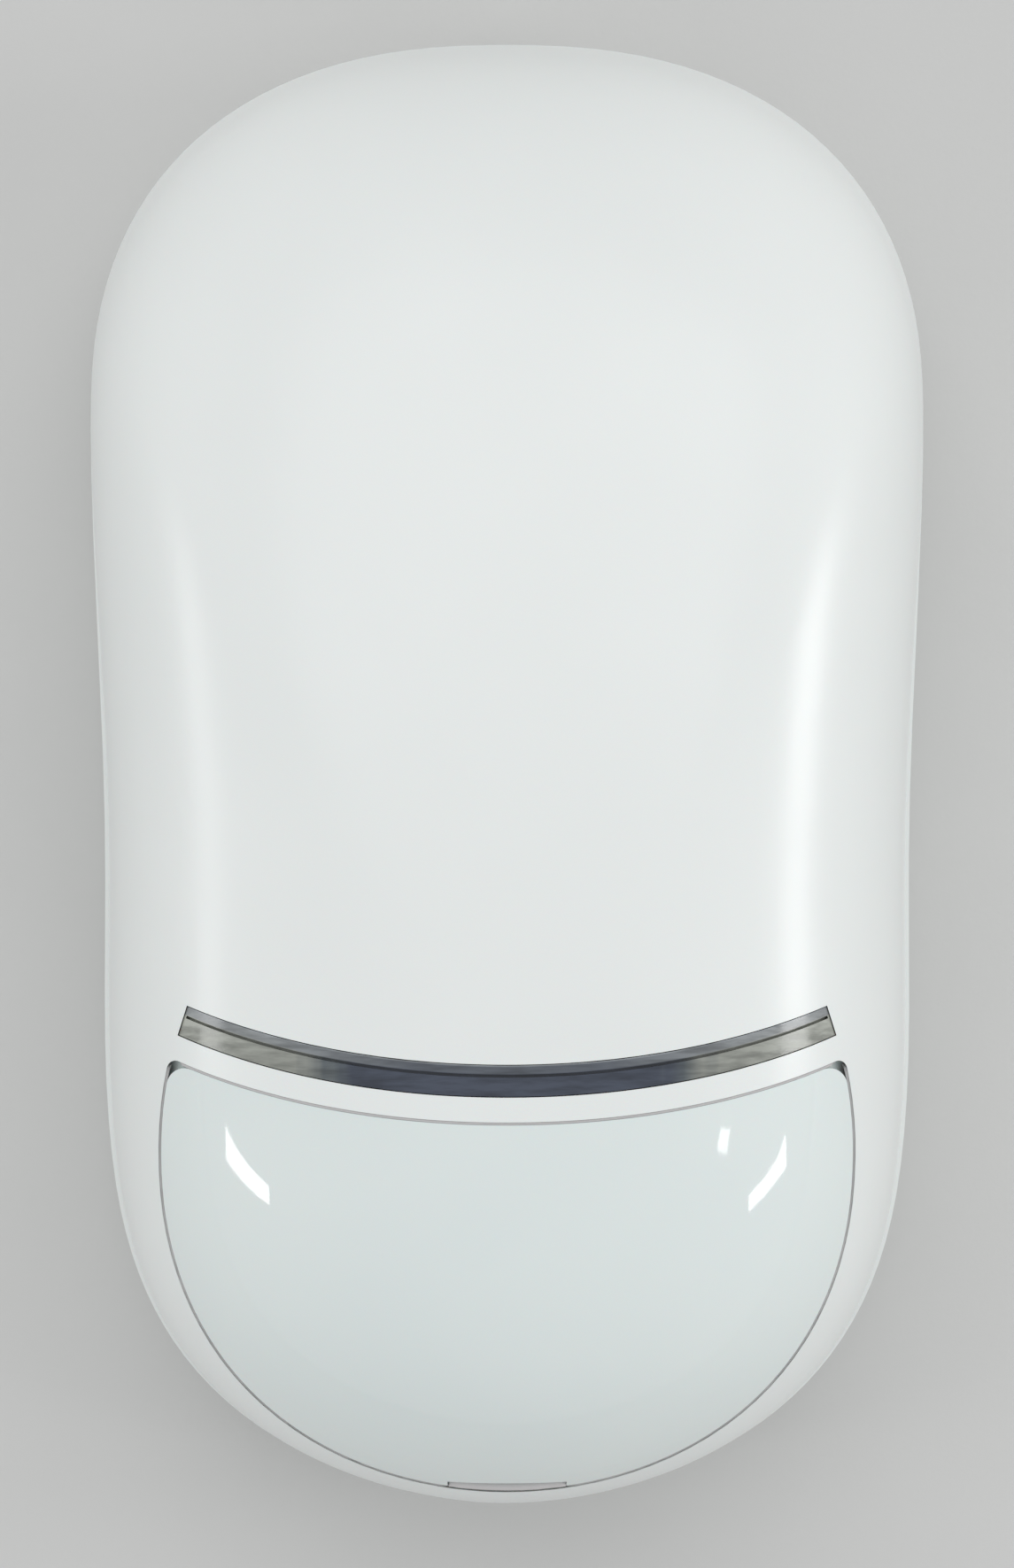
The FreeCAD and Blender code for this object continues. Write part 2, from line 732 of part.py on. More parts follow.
def back_housing():
    """Shallow tray that goes on the wall, with its raised lip, board posts, screw boss and hook slots."""
    wall = size("base_wall")
    floor = size("base_floor")
    edge = size("base_edge")

    def tray_wire(inset, z):
        lean = size("base_draft") * (1 - z / base_depth)
        return outline_wire(-lean - inset, z, size("rim_belly"))

    lower = Part.makeLoft([tray_wire(edge, 0), tray_wire(0, edge)], True, True)
    upper = Part.makeLoft([tray_wire(0, edge), tray_wire(0, base_depth)], True, True)
    hollow = Part.makeLoft([tray_wire(wall, floor), tray_wire(wall, base_depth)], True, True)
    lip_grow = -size("cover_wall") - size("lip_clearance")
    lip_foot = base_depth - 2 * size("lip_height")
    lip_height = 3 * size("lip_height")
    lip = prism(lip_grow, lip_foot, lip_height)
    shelf = prism(-wall / 2, lip_foot, 2 * size("lip_height"))
    lip_room = prism(lip_grow - size("lip_thickness"), lip_foot, lip_height)
    tray = lower.fuse([upper]).cut(hollow).fuse([lip.fuse(shelf).cut(lip_room)])

    standing = []
    post_top = floor + size("standoff_height")
    for side in (-1, 1):
        for y in (standoff_low_y, standoff_high_y):
            x = side * board_screw_x
            standing.append(upright(size("standoff_diameter"), x, y, floor / 2, post_top))
        post_x = side * (size("optics_width") / 2 - size("standoff_diameter") / 2)
        post_y = optics_y0 + size("standoff_diameter") / 2
        standing.append(upright(size("standoff_diameter"), post_x, post_y, floor / 2, board_top))
    boss_half = size("boss_width") / 2
    standing.append(block(-boss_half, boss_half, boss_y, boss_end_y, floor / 2, screw_z + boss_half))
    tray = tray.fuse(standing)

    board_bore = size("board_screw_diameter") + 2 * size("thread_clearance")
    openings = [upright(board_bore, x, y, floor, TALL) for x, y in board_screw_places()]
    screw_bore = size("screw_diameter") + 2 * size("thread_clearance")
    openings.append(along_y(screw_bore, 0, boss_y - wall, boss_end_y + wall, screw_z))
    notch_half = size("screw_head_diameter") / 2 + wall + size("lip_clearance")
    openings.append(block(-notch_half, notch_half, case_bottom_y - wall, boss_y, base_depth, TALL))
    for y in (size("top_hole_height"), -size("bottom_hole_drop")):
        openings.append(upright(size("screw_hole_diameter"), 0, y, -1, floor + 1))
    for side in (-1, 1):
        openings.append(hook_slot(side * size("hook_spacing") / 2))
    return tray.cut(openings + back_marks()).removeSplitter()


def back_marks():
    """Shallow cuts in the back: knock-out rings, a break-out ring and a label recess."""
    deep = size("groove_depth")

    def ring(diameter, x, y):
        island = upright(diameter - 2 * size("groove_width"), x, y, -1, deep)
        return upright(diameter, x, y, -1, deep).cut(island)

    marks = [ring(size("breakout_diameter"), 0, -size("bottom_hole_drop"))]
    for x in (-size("knockout_x"), size("knockout_x")):
        marks.append(ring(size("knockout_diameter"), x, size("knockout_height")))
    half_width = size("label_width") / 2
    half_height = size("label_height") / 2
    recess = block(-half_width, half_width, -half_height, half_height, -1, size("label_depth"))
    upright_edges = [edge for edge in recess.Edges if is_upright(edge)]
    return marks + [recess.makeFillet(size("groove_width") * 3, upright_edges)]


def prism(grow, foot, height):
    """The case outline, grown by a distance, as an upright prism."""
    return Part.Face(outline_wire(grow, foot)).extrude(Vector(0, 0, height))


def hook_slot(x):
    """Room in the tray's top wall and lip for a hook to sit in and to swing out of."""
    clear = size("hook_clearance")
    swing = size("hook_swing")
    half = size("hook_width") / 2 + clear
    outer_y = hook_y - clear
    inner_y = outer_y - size("hook_thickness")
    foot_z = base_depth - size("hook_reach") - clear
    lip_top = foot_z + clear + size("hook_thickness") / 2 + swing
    well = block(x - half, x + half, inner_y - swing, outer_y + clear, foot_z, TALL)
    catch = block(x - half, x + half, inner_y, outer_y + size("hook_lip") + clear, foot_z, lip_top)
    return well.fuse(catch)


def board_screw_places():
    """The two opposite posts that take a screw."""
    return ((board_screw_x, standoff_low_y), (-board_screw_x, standoff_high_y))


def main_board():
    """Circuit board on the tray's four posts."""
    board = plate(
        "main_board",
        "{board_width}",
        "{board_length}",
        "{board_thickness}",
        "{board_corner}",
        "-{board_width}/2",
        "{board_shift}-{board_length}/2",
        BOARD_BOTTOM,
    )
    low = ("{board_width}-{standoff_inset}", "{standoff_inset}")
    high = ("{standoff_inset}", "{board_length}-{standoff_end_inset}")
    through_holes(board, "main_board_holes", [low, high], "{board_screw_diameter}+4*{thread_clearance}")
    return part("main_board", board)


def board_screws():
    """Two pan-head screws that hold the board to its posts."""
    screws = []
    seat = "{standoff_height}-1+{board_thickness}"
    for number, (x, y) in enumerate(board_screw_places(), 1):
        corners = [
            ("0", "0"),
            ("{board_screw_diameter}/2", "0"),
            ("{board_screw_diameter}/2", seat),
            ("{board_screw_head}/2", seat),
            ("{board_screw_head}/2", seat + "+{board_screw_head_height}*0.6"),
            ("{board_screw_head}/4", seat + "+{board_screw_head_height}"),
            ("0", seat + "+{board_screw_head_height}"),
        ]
        side = 1 if x > 0 else -1
        rows = "{board_shift}-{board_length}/2+{standoff_inset}"
        if y == standoff_high_y:
            rows = "{board_shift}+{board_length}/2-{standoff_end_inset}"
        place_x = f"{side}*(" + "{board_width}/2-{standoff_inset})"
        screw = turned(f"board_screw_{number}", corners, place_x, rows, "{base_floor}+1")
        slot = box(
            f"board_screw_slot_{number}",
            "{board_screw_head}+1",
            "{screw_slot_width}*0.7",
            "{board_screw_head_height}",
            place_x + "-({board_screw_head}+1)/2",
            rows + "-{screw_slot_width}*0.35",
            BOARD_TOP + sized("+{board_screw_head_height}*0.55"),
        )
        screws.append(less(f"board_screw_slotted_{number}", screw, slot))
    return part("board_screws", group("board_screws", *screws))


def battery():
    """Lithium cell, lying across the board with its positive nub to the right."""
    corners = [
        ("0", "0"),
        ("{battery_diameter}/2-0.6", "0"),
        ("{battery_diameter}/2", "0.6"),
        ("{battery_diameter}/2", "{battery_length}-{nub_length}-0.6"),
        ("{battery_diameter}/2-0.6", "{battery_length}-{nub_length}"),
        ("{nub_diameter}/2", "{battery_length}-{nub_length}"),
        ("{nub_diameter}/2", "{battery_length}"),
        ("0", "{battery_length}"),
    ]
    cell_x = "{battery_shift}-{battery_length}/2"
    cell = turned("battery", corners, cell_x, "{battery_height}", CELL_Z, Vector(1, 0, 0))
    return part("battery", cell)


CELL_Z = BOARD_TOP + "+{holder_floor}+{holder_clearance}+{battery_diameter}/2"
SPRING_END = "{battery_shift}-{battery_length}/2-{battery_spring_length}"


def battery_holder():
    """Open cradle round the lower half of the cell."""
    bay_length = "({battery_length}+{battery_spring_length}+3*{contact_thickness})"
    cradle_width = "({battery_diameter}+2*{holder_clearance}+2*{holder_wall})"
    cradle_x = SPRING_END + "-{contact_thickness}*2-{holder_end}"
    cradle = box(
        "holder_block",
        bay_length + "+2*{holder_end}",
        cradle_width,
        "{holder_floor}+{holder_clearance}+{battery_diameter}/2+1",
        cradle_x,
        "{battery_height}-" + cradle_width + "/2",
        BOARD_TOP,
    )
    bay = rod(
        "holder_bay",
        "{battery_diameter}+2*{holder_clearance}",
        bay_length,
        cradle_x + "+{holder_end}",
        "{battery_height}",
        CELL_Z,
        Vector(1, 0, 0),
    )
    return part("battery_holder", less("battery_holder", cradle, bay))


def battery_contacts():
    """Contact plates at the cell's two ends, and the leaf spring on the negative one."""
    for label, x in (
        ("battery_contact_positive", "{battery_shift}+{battery_length}/2"),
        ("battery_contact_negative", SPRING_END + "-{contact_thickness}"),
    ):
        strip = box(
            label,
            "{contact_thickness}",
            "{battery_diameter}*0.6",
            "{battery_diameter}*0.75",
            x,
            "{battery_height}-{battery_diameter}*0.3",
            CELL_Z + "-{battery_diameter}*0.4",
        )
        part(label, strip)
    keep("battery_spring", leaf_spring())


def leaf_spring():
    """Bowed strip between the negative contact and the cell's flat end."""
    gap = size("rib_gap")
    thick = size("battery_spring_thickness")
    cell_end = size("battery_shift") - size("battery_length") / 2
    foot_x = cell_end - size("battery_spring_length") + gap
    half = size("battery_spring_span") / 2
    y = size("battery_height")
    z = board_top + size("holder_floor") + size("holder_clearance") + size("battery_diameter") / 2
    low_z = z - size("battery_spring_width") / 2

    def bow(inset):
        ends = [Vector(foot_x, y - half + inset, low_z), Vector(foot_x, y + half - inset, low_z)]
        crown = Vector(cell_end - gap - inset, y, low_z)
        return ends, Part.Arc(ends[0], crown, ends[1]).toShape()

    outer_ends, outer = bow(0)
    inner_ends, inner = bow(thick)
    feet = [Part.makeLine(a, b) for a, b in zip(outer_ends, inner_ends)]
    profile = Part.Wire(Part.__sortEdges__([outer, inner] + feet))
    return Part.Face(profile).extrude(Vector(0, 0, size("battery_spring_width")))


def microwave_module():
    """Doppler radar board on four pillars, with its shield can, patch aerials and header pins."""
    pillar_top = BOARD_TOP + sized("+{pillar_height}")
    board = plate(
        "microwave_board",
        "{module_width}",
        "{module_length}",
        "{module_thickness}",
        "{pillar_diameter}/2",
        "-{module_width}/2",
        "{module_height}-{module_length}/2",
        pillar_top,
    )
    part("microwave_board", board)
    pillars = []
    for side in (-1, 1):
        for end in (-1, 1):
            pillars.append(
                rod(
                    f"pillar_{len(pillars) + 1}",
                    "{pillar_diameter}",
                    "{pillar_height}",
                    f"{side}*(" + "{module_width}/2-{pillar_diameter})",
                    "{module_height}+" + f"{end}*(" + "{module_length}/2-{pillar_diameter})",
                    BOARD_TOP,
                )
            )
    part("microwave_pillars", group("microwave_pillars", *pillars))
    can = box(
        "microwave_shield_can",
        "{module_can_side}",
        "{module_can_side}",
        "{module_can_height}",
        "-{module_can_side}/2",
        "{module_height}-{module_can_side}/2",
        BOARD_TOP + sized("+{pillar_height}-{module_can_height}"),
    )
    part("microwave_shield_can", can)
    patches = []
    for side in (-1, 1):
        for end in (-1, 1):
            patches.append(
                box(
                    f"patch_{len(patches) + 1}",
                    "{patch_side}",
                    "{patch_side}",
                    "{patch_thickness}",
                    f"{side}*" + "{patch_pitch}/2-{patch_side}/2",
                    "{module_height}+" + f"{end}*" + "{patch_pitch}/2-{patch_side}/2",
                    pillar_top + sized("+{module_thickness}"),
                )
            )
    part("microwave_patches", group("microwave_patches", *patches))
    pins = []
    for number in range(5):
        pins.append(
            box(
                f"pin_{number + 1}",
                "{pin_side}",
                "{pin_side}",
                "{pillar_height}",
                f"{number - 2}*" + "{pin_pitch}-{pin_side}/2",
                "{module_height}-{module_length}/2+1.5",
                BOARD_TOP,
            )
        )
    part("header_pins", group("header_pins", *pins))


def sensor_board():
    """Upright board behind the strip: it carries the heat sensor, the lights and the emitters."""
    width = size("sensor_board_width")
    y0 = sensor_y - size("sensor_board_thickness")
    top = board_top + size("sensor_board_height")
    board = block(-width / 2, width / 2, y0, sensor_y, board_top, top)
    for x, z in lead_places():
        bore = size("lead_diameter") + 2 * size("running_clearance")
        board = board.cut(along_y(bore, x, y0 - 1, sensor_y + 1, z))
    keep("sensor_board", board)
    lights = []
    emitters = []
    middle_y = sensor_y - size("sensor_board_thickness") / 2
    side = size("led_side")
    for number in (-1, 0, 1):
        x = number * size("led_pitch")
        lights.append(block(x - side / 2, x + side / 2, y0, sensor_y, top, top + size("led_height")))
    for end in (-1, 1):
        x = end * size("emitter_spacing") / 2
        lamp = upright(size("emitter_diameter"), x, middle_y, top, top + size("emitter_height"))
        crown = Vector(x, middle_y, top + size("emitter_height") / 2)
        dome_top = Part.makeSphere(size("emitter_diameter") / 2, crown)
        emitters.append(lamp.common(dome_top))
    keep("status_lights", Part.makeCompound(lights))
    keep("mask_emitters", Part.makeCompound(emitters))


def lead_places():
    """Centres of the heat sensor's three leads, on a circle round its axis."""
    radius = size("lead_circle") / 2
    for degrees in (45, 135, 225):
        angle = math.radians(degrees)
        yield radius * math.cos(angle), pyro_z + radius * math.sin(angle)


def heat_sensor():
    """Pyroelectric sensor: metal can, filter window, leads and a foam ring round it."""
    board_face = sensor_y - size("sensor_board_thickness")
    corners = [
        ("0", "0"),
        ("{pyro_flange_diameter}/2", "0"),
        ("{pyro_flange_diameter}/2", "{pyro_flange_thickness}"),
        ("{pyro_diameter}/2", "{pyro_flange_thickness}"),
        ("{pyro_diameter}/2", "{pyro_length}-0.4"),
        ("{pyro_diameter}/2-0.4", "{pyro_length}"),
        ("0", "{pyro_length}"),
    ]
    can_y = "-{sensor_board_drop}-{sensor_board_thickness}"
    can_z = BOARD_TOP + "+{pyro_height}"
    can = turned("pyro_can_turned", corners, "0", can_y, can_z, Vector(0, -1, 0))
    recess = box(
        "pyro_recess",
        "{pyro_window_side}",
        "{pyro_window_thickness}+1",
        "{pyro_window_side}",
        "-{pyro_window_side}/2",
        can_y + "-{pyro_length}-1",
        can_z + "-{pyro_window_side}/2",
    )
    part("pyro_can", less("pyro_can", can, recess))
    glass_side = "({pyro_window_side}-2*{running_clearance})"
    glass = box(
        "pyro_filter",
        glass_side,
        "{pyro_window_thickness}",
        glass_side,
        "-" + glass_side + "/2",
        can_y + "-{pyro_length}",
        can_z + "-" + glass_side + "/2",
    )
    part("pyro_filter", glass)
    tail = sensor_y + size("sensor_board_thickness")
    leads = [along_y(size("lead_diameter"), x, board_face, tail, z) for x, z in lead_places()]
    keep("pyro_leads", Part.makeCompound(leads))
    outer = size("pyro_flange_diameter") + 4
    inner = size("pyro_flange_diameter") + 2 * size("running_clearance")
    y0 = board_face - size("gasket_thickness")
    foam = along_y(outer, 0, y0, board_face, pyro_z).cut(along_y(inner, 0, y0, board_face, pyro_z))
    keep("sensor_gasket", foam)


def optics():
    """Black housing under the lens and the faceted mirror that throws the heat image on to the sensor."""
    wall = size("optics_wall")
    half = size("optics_width") / 2
    top = board_top + size("optics_depth")
    box_shape = block(-half, half, optics_y0, optics_y1, board_top, top)
    room = block(-half + wall, half - wall, optics_y0 + wall, optics_y1 - wall, board_top + wall, TALL)
    eye = size("pyro_flange_diameter") + 2 * size("boss_gap")
    housing = box_shape.cut(room).cut(along_y(eye, 0, optics_y1 - 2 * wall, optics_y1 + 1, pyro_z))
    keep("optics_housing", housing)
    mirror_half = size("mirror_width") / 2
    y0 = optics_y0 + wall
    y1 = optics_y1 - 3 * wall
    z0 = board_top + wall
    z1 = top - 1
    triangle = [Vector(-mirror_half, y0, z0), Vector(-mirror_half, y1, z0), Vector(-mirror_half, y0, z1)]
    wedge = Part.Face(Part.makePolygon(triangle + triangle[:1])).extrude(Vector(2 * mirror_half, 0, 0))
    slope = Vector(0, y1 - y0, z0 - z1)
    outward = Vector(0, z1 - z0, y1 - y0).normalize()
    lift = size("mirror_facet_radius") - size("mirror_facet_depth")
    columns = 5
    for column in range(columns):
        x = mirror_half * (2 * column + 1 - columns) / columns
        for share in (0.22, 0.5, 0.78):
            foot = Vector(x, y0, z1) + slope * share
            wedge = wedge.cut(Part.makeSphere(size("mirror_facet_radius"), foot + outward * lift))
    keep("mirror", wedge)


def tamper_switch():
    """Switch body, the plunger that the cover holds down, and the spring that lifts it."""
    x = "{tamper_x}"
    y = "{tamper_y}"
    stem = "{tamper_stem_diameter}/2"
    half = "{tamper_body_side}/2"
    body = box(
        "tamper_block",
        "{tamper_body_side}",
        "{tamper_body_side}",
        "{tamper_body_height}",
        f"{x}-{half}",
        f"{y}-{half}",
        BOARD_TOP,
    )
    bore = rod(
        "tamper_bore",
        "{tamper_stem_diameter}+2*{running_clearance}",
        "{tamper_body_height}",
        x,
        y,
        BOARD_TOP + "+1",
    )
    part("tamper_switch_body", less("tamper_switch_body", body, bore))
    reach = "{tamper_body_height}-2.5"
    corners = [
        ("0", "0"),
        (stem, "0"),
        (stem, reach + "+{tamper_flange_height}"),
        ("{tamper_flange_diameter}/2", reach + "+{tamper_flange_height}"),
        ("{tamper_flange_diameter}/2", reach + "+{tamper_flange_height}+{tamper_flange_thickness}"),
        (stem, reach + "+{tamper_flange_height}+{tamper_flange_thickness}"),
        (stem, reach + "+{tamper_flange_height}+{tamper_tip_height}-0.5"),
        (stem + "-0.5", reach + "+{tamper_flange_height}+{tamper_tip_height}"),
        ("0", reach + "+{tamper_flange_height}+{tamper_tip_height}"),
    ]
    part("tamper_plunger", turned("tamper_plunger", corners, x, y, BOARD_TOP + "+2.5"))
    wire = size("tamper_wire")
    radius = size("tamper_stem_diameter") / 2 + wire / 2 + 2 * size("running_clearance")
    rise = size("tamper_flange_height") - wire - 2 * size("rib_gap")
    foot_z = board_top + size("tamper_body_height") + wire / 2 + size("rib_gap")
    foot = Vector(size("tamper_x"), size("tamper_y"), foot_z)
    keep("tamper_spring", spring(radius, wire, rise, size("tamper_turns"), foot))


def enrol_button():
    """Small push switch on the board."""
    x = "{button_x}"
    y = "{button_y}"
    half = "{button_body_side}/2"
    body = box(
        "button_block",
        "{button_body_side}",
        "{button_body_side}",
        "{button_body_height}",
        f"{x}-{half}",
        f"{y}-{half}",
        BOARD_TOP,
    )
    well_z = BOARD_TOP + "+{button_body_height}-{button_sink}"
    well = rod("button_well", "{button_diameter}+2*{running_clearance}", "{button_sink}+1", x, y, well_z)
    part("enrol_switch_body", less("enrol_switch_body", body, well))
    cap = [
        ("0", "0"),
        ("{button_diameter}/2", "0"),
        ("{button_diameter}/2", "{button_length}-0.3"),
        ("{button_diameter}/2-0.3", "{button_length}"),
        ("0", "{button_length}"),
    ]
    cap_z = well_z + "+{button_sink}*0.5"
    part("enrol_button", turned("enrol_button", cap, x, y, cap_z))


def range_trimmer():
    """Potentiometer that sets the radar's reach, with a slotted rotor."""
    x = "{trimmer_x}"
    y = "{trimmer_y}"
    half = "{trimmer_side}/2"
    body = box(
        "trimmer_block",
        "{trimmer_side}",
        "{trimmer_side}",
        "{trimmer_height}",
        f"{x}-{half}",
        f"{y}-{half}",
        BOARD_TOP,
    )
    well_z = BOARD_TOP + "+{trimmer_height}-{rotor_depth}"
    well = rod("trimmer_well", "{rotor_diameter}+2*{running_clearance}", "{rotor_depth}+1", x, y, well_z)
    part("range_trimmer_body", less("range_trimmer_body", body, well))
    disc_z = well_z + "+{rib_gap}"
    disc = rod("rotor_disc", "{rotor_diameter}", "{rotor_depth}+{rib_gap}", x, y, disc_z)
    slot = box(
        "rotor_slot",
        "{rotor_diameter}",
        "{rotor_slot_width}",
        "{rotor_slot_depth}+1",
        f"{x}-" + "{rotor_diameter}/2+{rotor_slot_width}",
        f"{y}-" + "{rotor_slot_width}/2",
        disc_z + "+{rotor_depth}+{rib_gap}-{rotor_slot_depth}",
    )
    part("range_trimmer_rotor", less("range_trimmer_rotor", disc, slot))


def radio():
    """Radio module's shield can and its wound aerial."""
    can = box(
        "radio_shield_can",
        "{radio_width}",
        "{radio_length}",
        "{radio_height}",
        "{radio_x}-{radio_width}/2",
        "{radio_y}-{radio_length}/2",
        BOARD_TOP,
    )
    part("radio_shield_can", can)
    wire = size("antenna_wire")
    radius = (size("antenna_diameter") - wire) / 2
    turns = size("antenna_turns")
    foot = Vector(size("antenna_x"), size("antenna_y"), board_top + wire / 2 + size("rib_gap"))
    keep("radio_antenna", spring(radius, wire, size("antenna_pitch") * turns, turns, foot))


def board_components():
    """Capacitors and chips that stand on the board."""
    corners = [
        ("0", "0"),
        ("{capacitor_diameter}/2", "0"),
        ("{capacitor_diameter}/2", "{capacitor_height}-0.4"),
        ("{capacitor_diameter}/2-0.4", "{capacitor_height}"),
        ("0", "{capacitor_height}"),
    ]
    cans = []
    for number in range(2):
        y = "{capacitor_y}+" + f"{number}*" + "{capacitor_pitch}"
        cans.append(turned(f"capacitor_{number + 1}", corners, "{capacitor_x}", y, BOARD_TOP))
    part("capacitors", group("capacitors", *cans))
    chips = []
    for number, (shift, share) in enumerate(((-0.9, 1.0), (0.5, 0.6), (1.4, 0.55)), 1):
        side = "{chip_side}*" + str(share)
        chips.append(
            box(
                f"chip_{number}",
                side,
                side,
                "{chip_height}",
                "{chip_x}+" + f"({shift})*" + "{chip_side}-" + side + "/2",
                "{chip_y}-" + side + "/2",
                BOARD_TOP,
            )
        )
    part("chips", group("chips", *chips))


def cover_screw():
    """Captive screw that clamps the cover's slotted web to the tray's boss, with its retaining ring."""
    seat = "-{case_height}/2+{screw_recess}"
    corners = [
        ("0", "0"),
        ("{screw_diameter}/2-0.8", "0"),
        ("{screw_diameter}/2", "0.8"),
        ("{screw_diameter}/2", "{screw_length}"),
        ("{screw_head_diameter}/2", "{screw_length}"),
        ("{screw_head_diameter}/2", "{screw_length}+{screw_head_length}*0.6"),
        ("{screw_head_diameter}/2-0.7", "{screw_length}+{screw_head_length}"),
        ("0", "{screw_length}+{screw_head_length}"),
    ]
    head_y = seat + "-{rib_gap}"
    tip_y = head_y + "+{screw_length}"
    turned_screw = turned("cover_screw_turned", corners, "0", tip_y, "{screw_height}", Vector(0, -1, 0))
    arm = "{screw_head_diameter}*0.7"
    width = "{screw_slot_width}"
    slots = []
    for number, (length, height) in enumerate(((arm, width), (width, arm)), 1):
        slots.append(
            box(
                f"cover_screw_slot_{number}",
                length,
                "{screw_slot_depth}+1",
                height,
                f"-{length}/2",
                head_y + "-{screw_head_length}-1",
                "{screw_height}-" + height + "/2",
            )
        )
    part("cover_screw", less("cover_screw", turned_screw, *slots))
    outer = size("ring_diameter")
    inner = size("screw_diameter") + 2 * size("running_clearance")
    ring_end = ring_y + size("ring_thickness")
    ring = along_y(outer, 0, ring_y, ring_end, screw_z).cut(along_y(inner, 0, ring_y, ring_end, screw_z))
    keep("screw_ring", ring)


def build():
    keep("front_cover", front_cover())
    keep("light_strip", light_strip())
    keep("lens_window", lens_window())
    keep("lens_retainer", lens_retainer())
    keep("back_housing", back_housing())
    main_board()
    board_screws()
    battery()
    battery_holder()
    battery_contacts()
    microwave_module()
    sensor_board()
    heat_sensor()
    optics()
    tamper_switch()
    enrol_button()
    range_trimmer()
    radio()
    board_components()
    cover_screw()


def write_parts():
    """Checks every object and sub-part, then writes each sub-part to its own file."""
    doc.recompute()
    for thing in doc.Objects:
        if "Invalid" in thing.State or "Error" in thing.State:
            raise RuntimeError(f"{thing.Name} failed: {thing.State}")
    for label, thing in parts.items():
        shape = thing.Shape
        if shape.isNull() or not shape.isValid() or not shape.Solids:
            raise RuntimeError(f"{label} has no valid solid")
        shape.exportStep(f"parts/{label}.step")
        print(label, len(shape.Solids), "solids", round(shape.Volume, 2), "mm3")


build()
write_parts()
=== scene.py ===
import json
import math

import bpy
from mathutils import Matrix, Vector


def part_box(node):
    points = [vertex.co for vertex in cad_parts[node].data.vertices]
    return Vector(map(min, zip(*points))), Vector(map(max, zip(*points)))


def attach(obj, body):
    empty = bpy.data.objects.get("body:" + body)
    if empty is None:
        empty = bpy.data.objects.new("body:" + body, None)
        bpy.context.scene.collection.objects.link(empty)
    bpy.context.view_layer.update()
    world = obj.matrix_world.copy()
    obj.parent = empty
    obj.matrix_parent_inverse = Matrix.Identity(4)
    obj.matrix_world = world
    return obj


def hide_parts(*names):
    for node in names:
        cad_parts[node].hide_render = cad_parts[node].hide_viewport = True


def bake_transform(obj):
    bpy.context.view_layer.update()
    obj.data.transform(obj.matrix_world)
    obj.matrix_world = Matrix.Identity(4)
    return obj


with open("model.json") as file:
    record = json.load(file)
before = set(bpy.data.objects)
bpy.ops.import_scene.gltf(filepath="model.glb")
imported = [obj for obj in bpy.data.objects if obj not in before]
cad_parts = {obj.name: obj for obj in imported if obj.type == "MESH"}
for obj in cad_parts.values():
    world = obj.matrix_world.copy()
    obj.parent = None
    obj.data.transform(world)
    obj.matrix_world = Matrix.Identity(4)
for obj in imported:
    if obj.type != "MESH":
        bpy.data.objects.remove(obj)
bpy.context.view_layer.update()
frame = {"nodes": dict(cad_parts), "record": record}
nodes = frame["nodes"]

MM = 0.001

# The photograph's frame and camera
PHOTO_HEIGHT = 1771
CAMERA_HEIGHT = 0.400
CAMERA_SHIFT_Y = -0.00103
FOCAL_PIXELS = 4664
SENSOR = 36.0
CLIP_START, CLIP_END = 0.01, 20

# The floor lies a little under the part, so that it doesn't share a plane with the part's back
FLOOR_LEVEL = -0.2 * MM
FLOOR_HALF = 3.0

# Places that the CAD model also holds
ARC_CENTRE_Y = 62.5 * MM
STRIP_RADIUS = 87.4 * MM
STRIP_HEIGHT = 2.8 * MM
LAND_HEIGHT = 2.1 * MM
LENS_HALF_WIDTH = 30.7 * MM
LENS_HALF_HEIGHT = 30.3 * MM
LENS_DROP = 34.0 * MM
LENS_SQUARE = 2.12
LENS_GAP = 0.25 * MM
BOARD_TOP = 10.1 * MM
TAMPER_PLACE = (24.5 * MM, 12.0 * MM)

UPRIGHT = Vector((0, 0, 1))
WHITE, BLACK = (1.0, 1.0, 1.0), (0.0, 0.0, 0.0)


# Materials


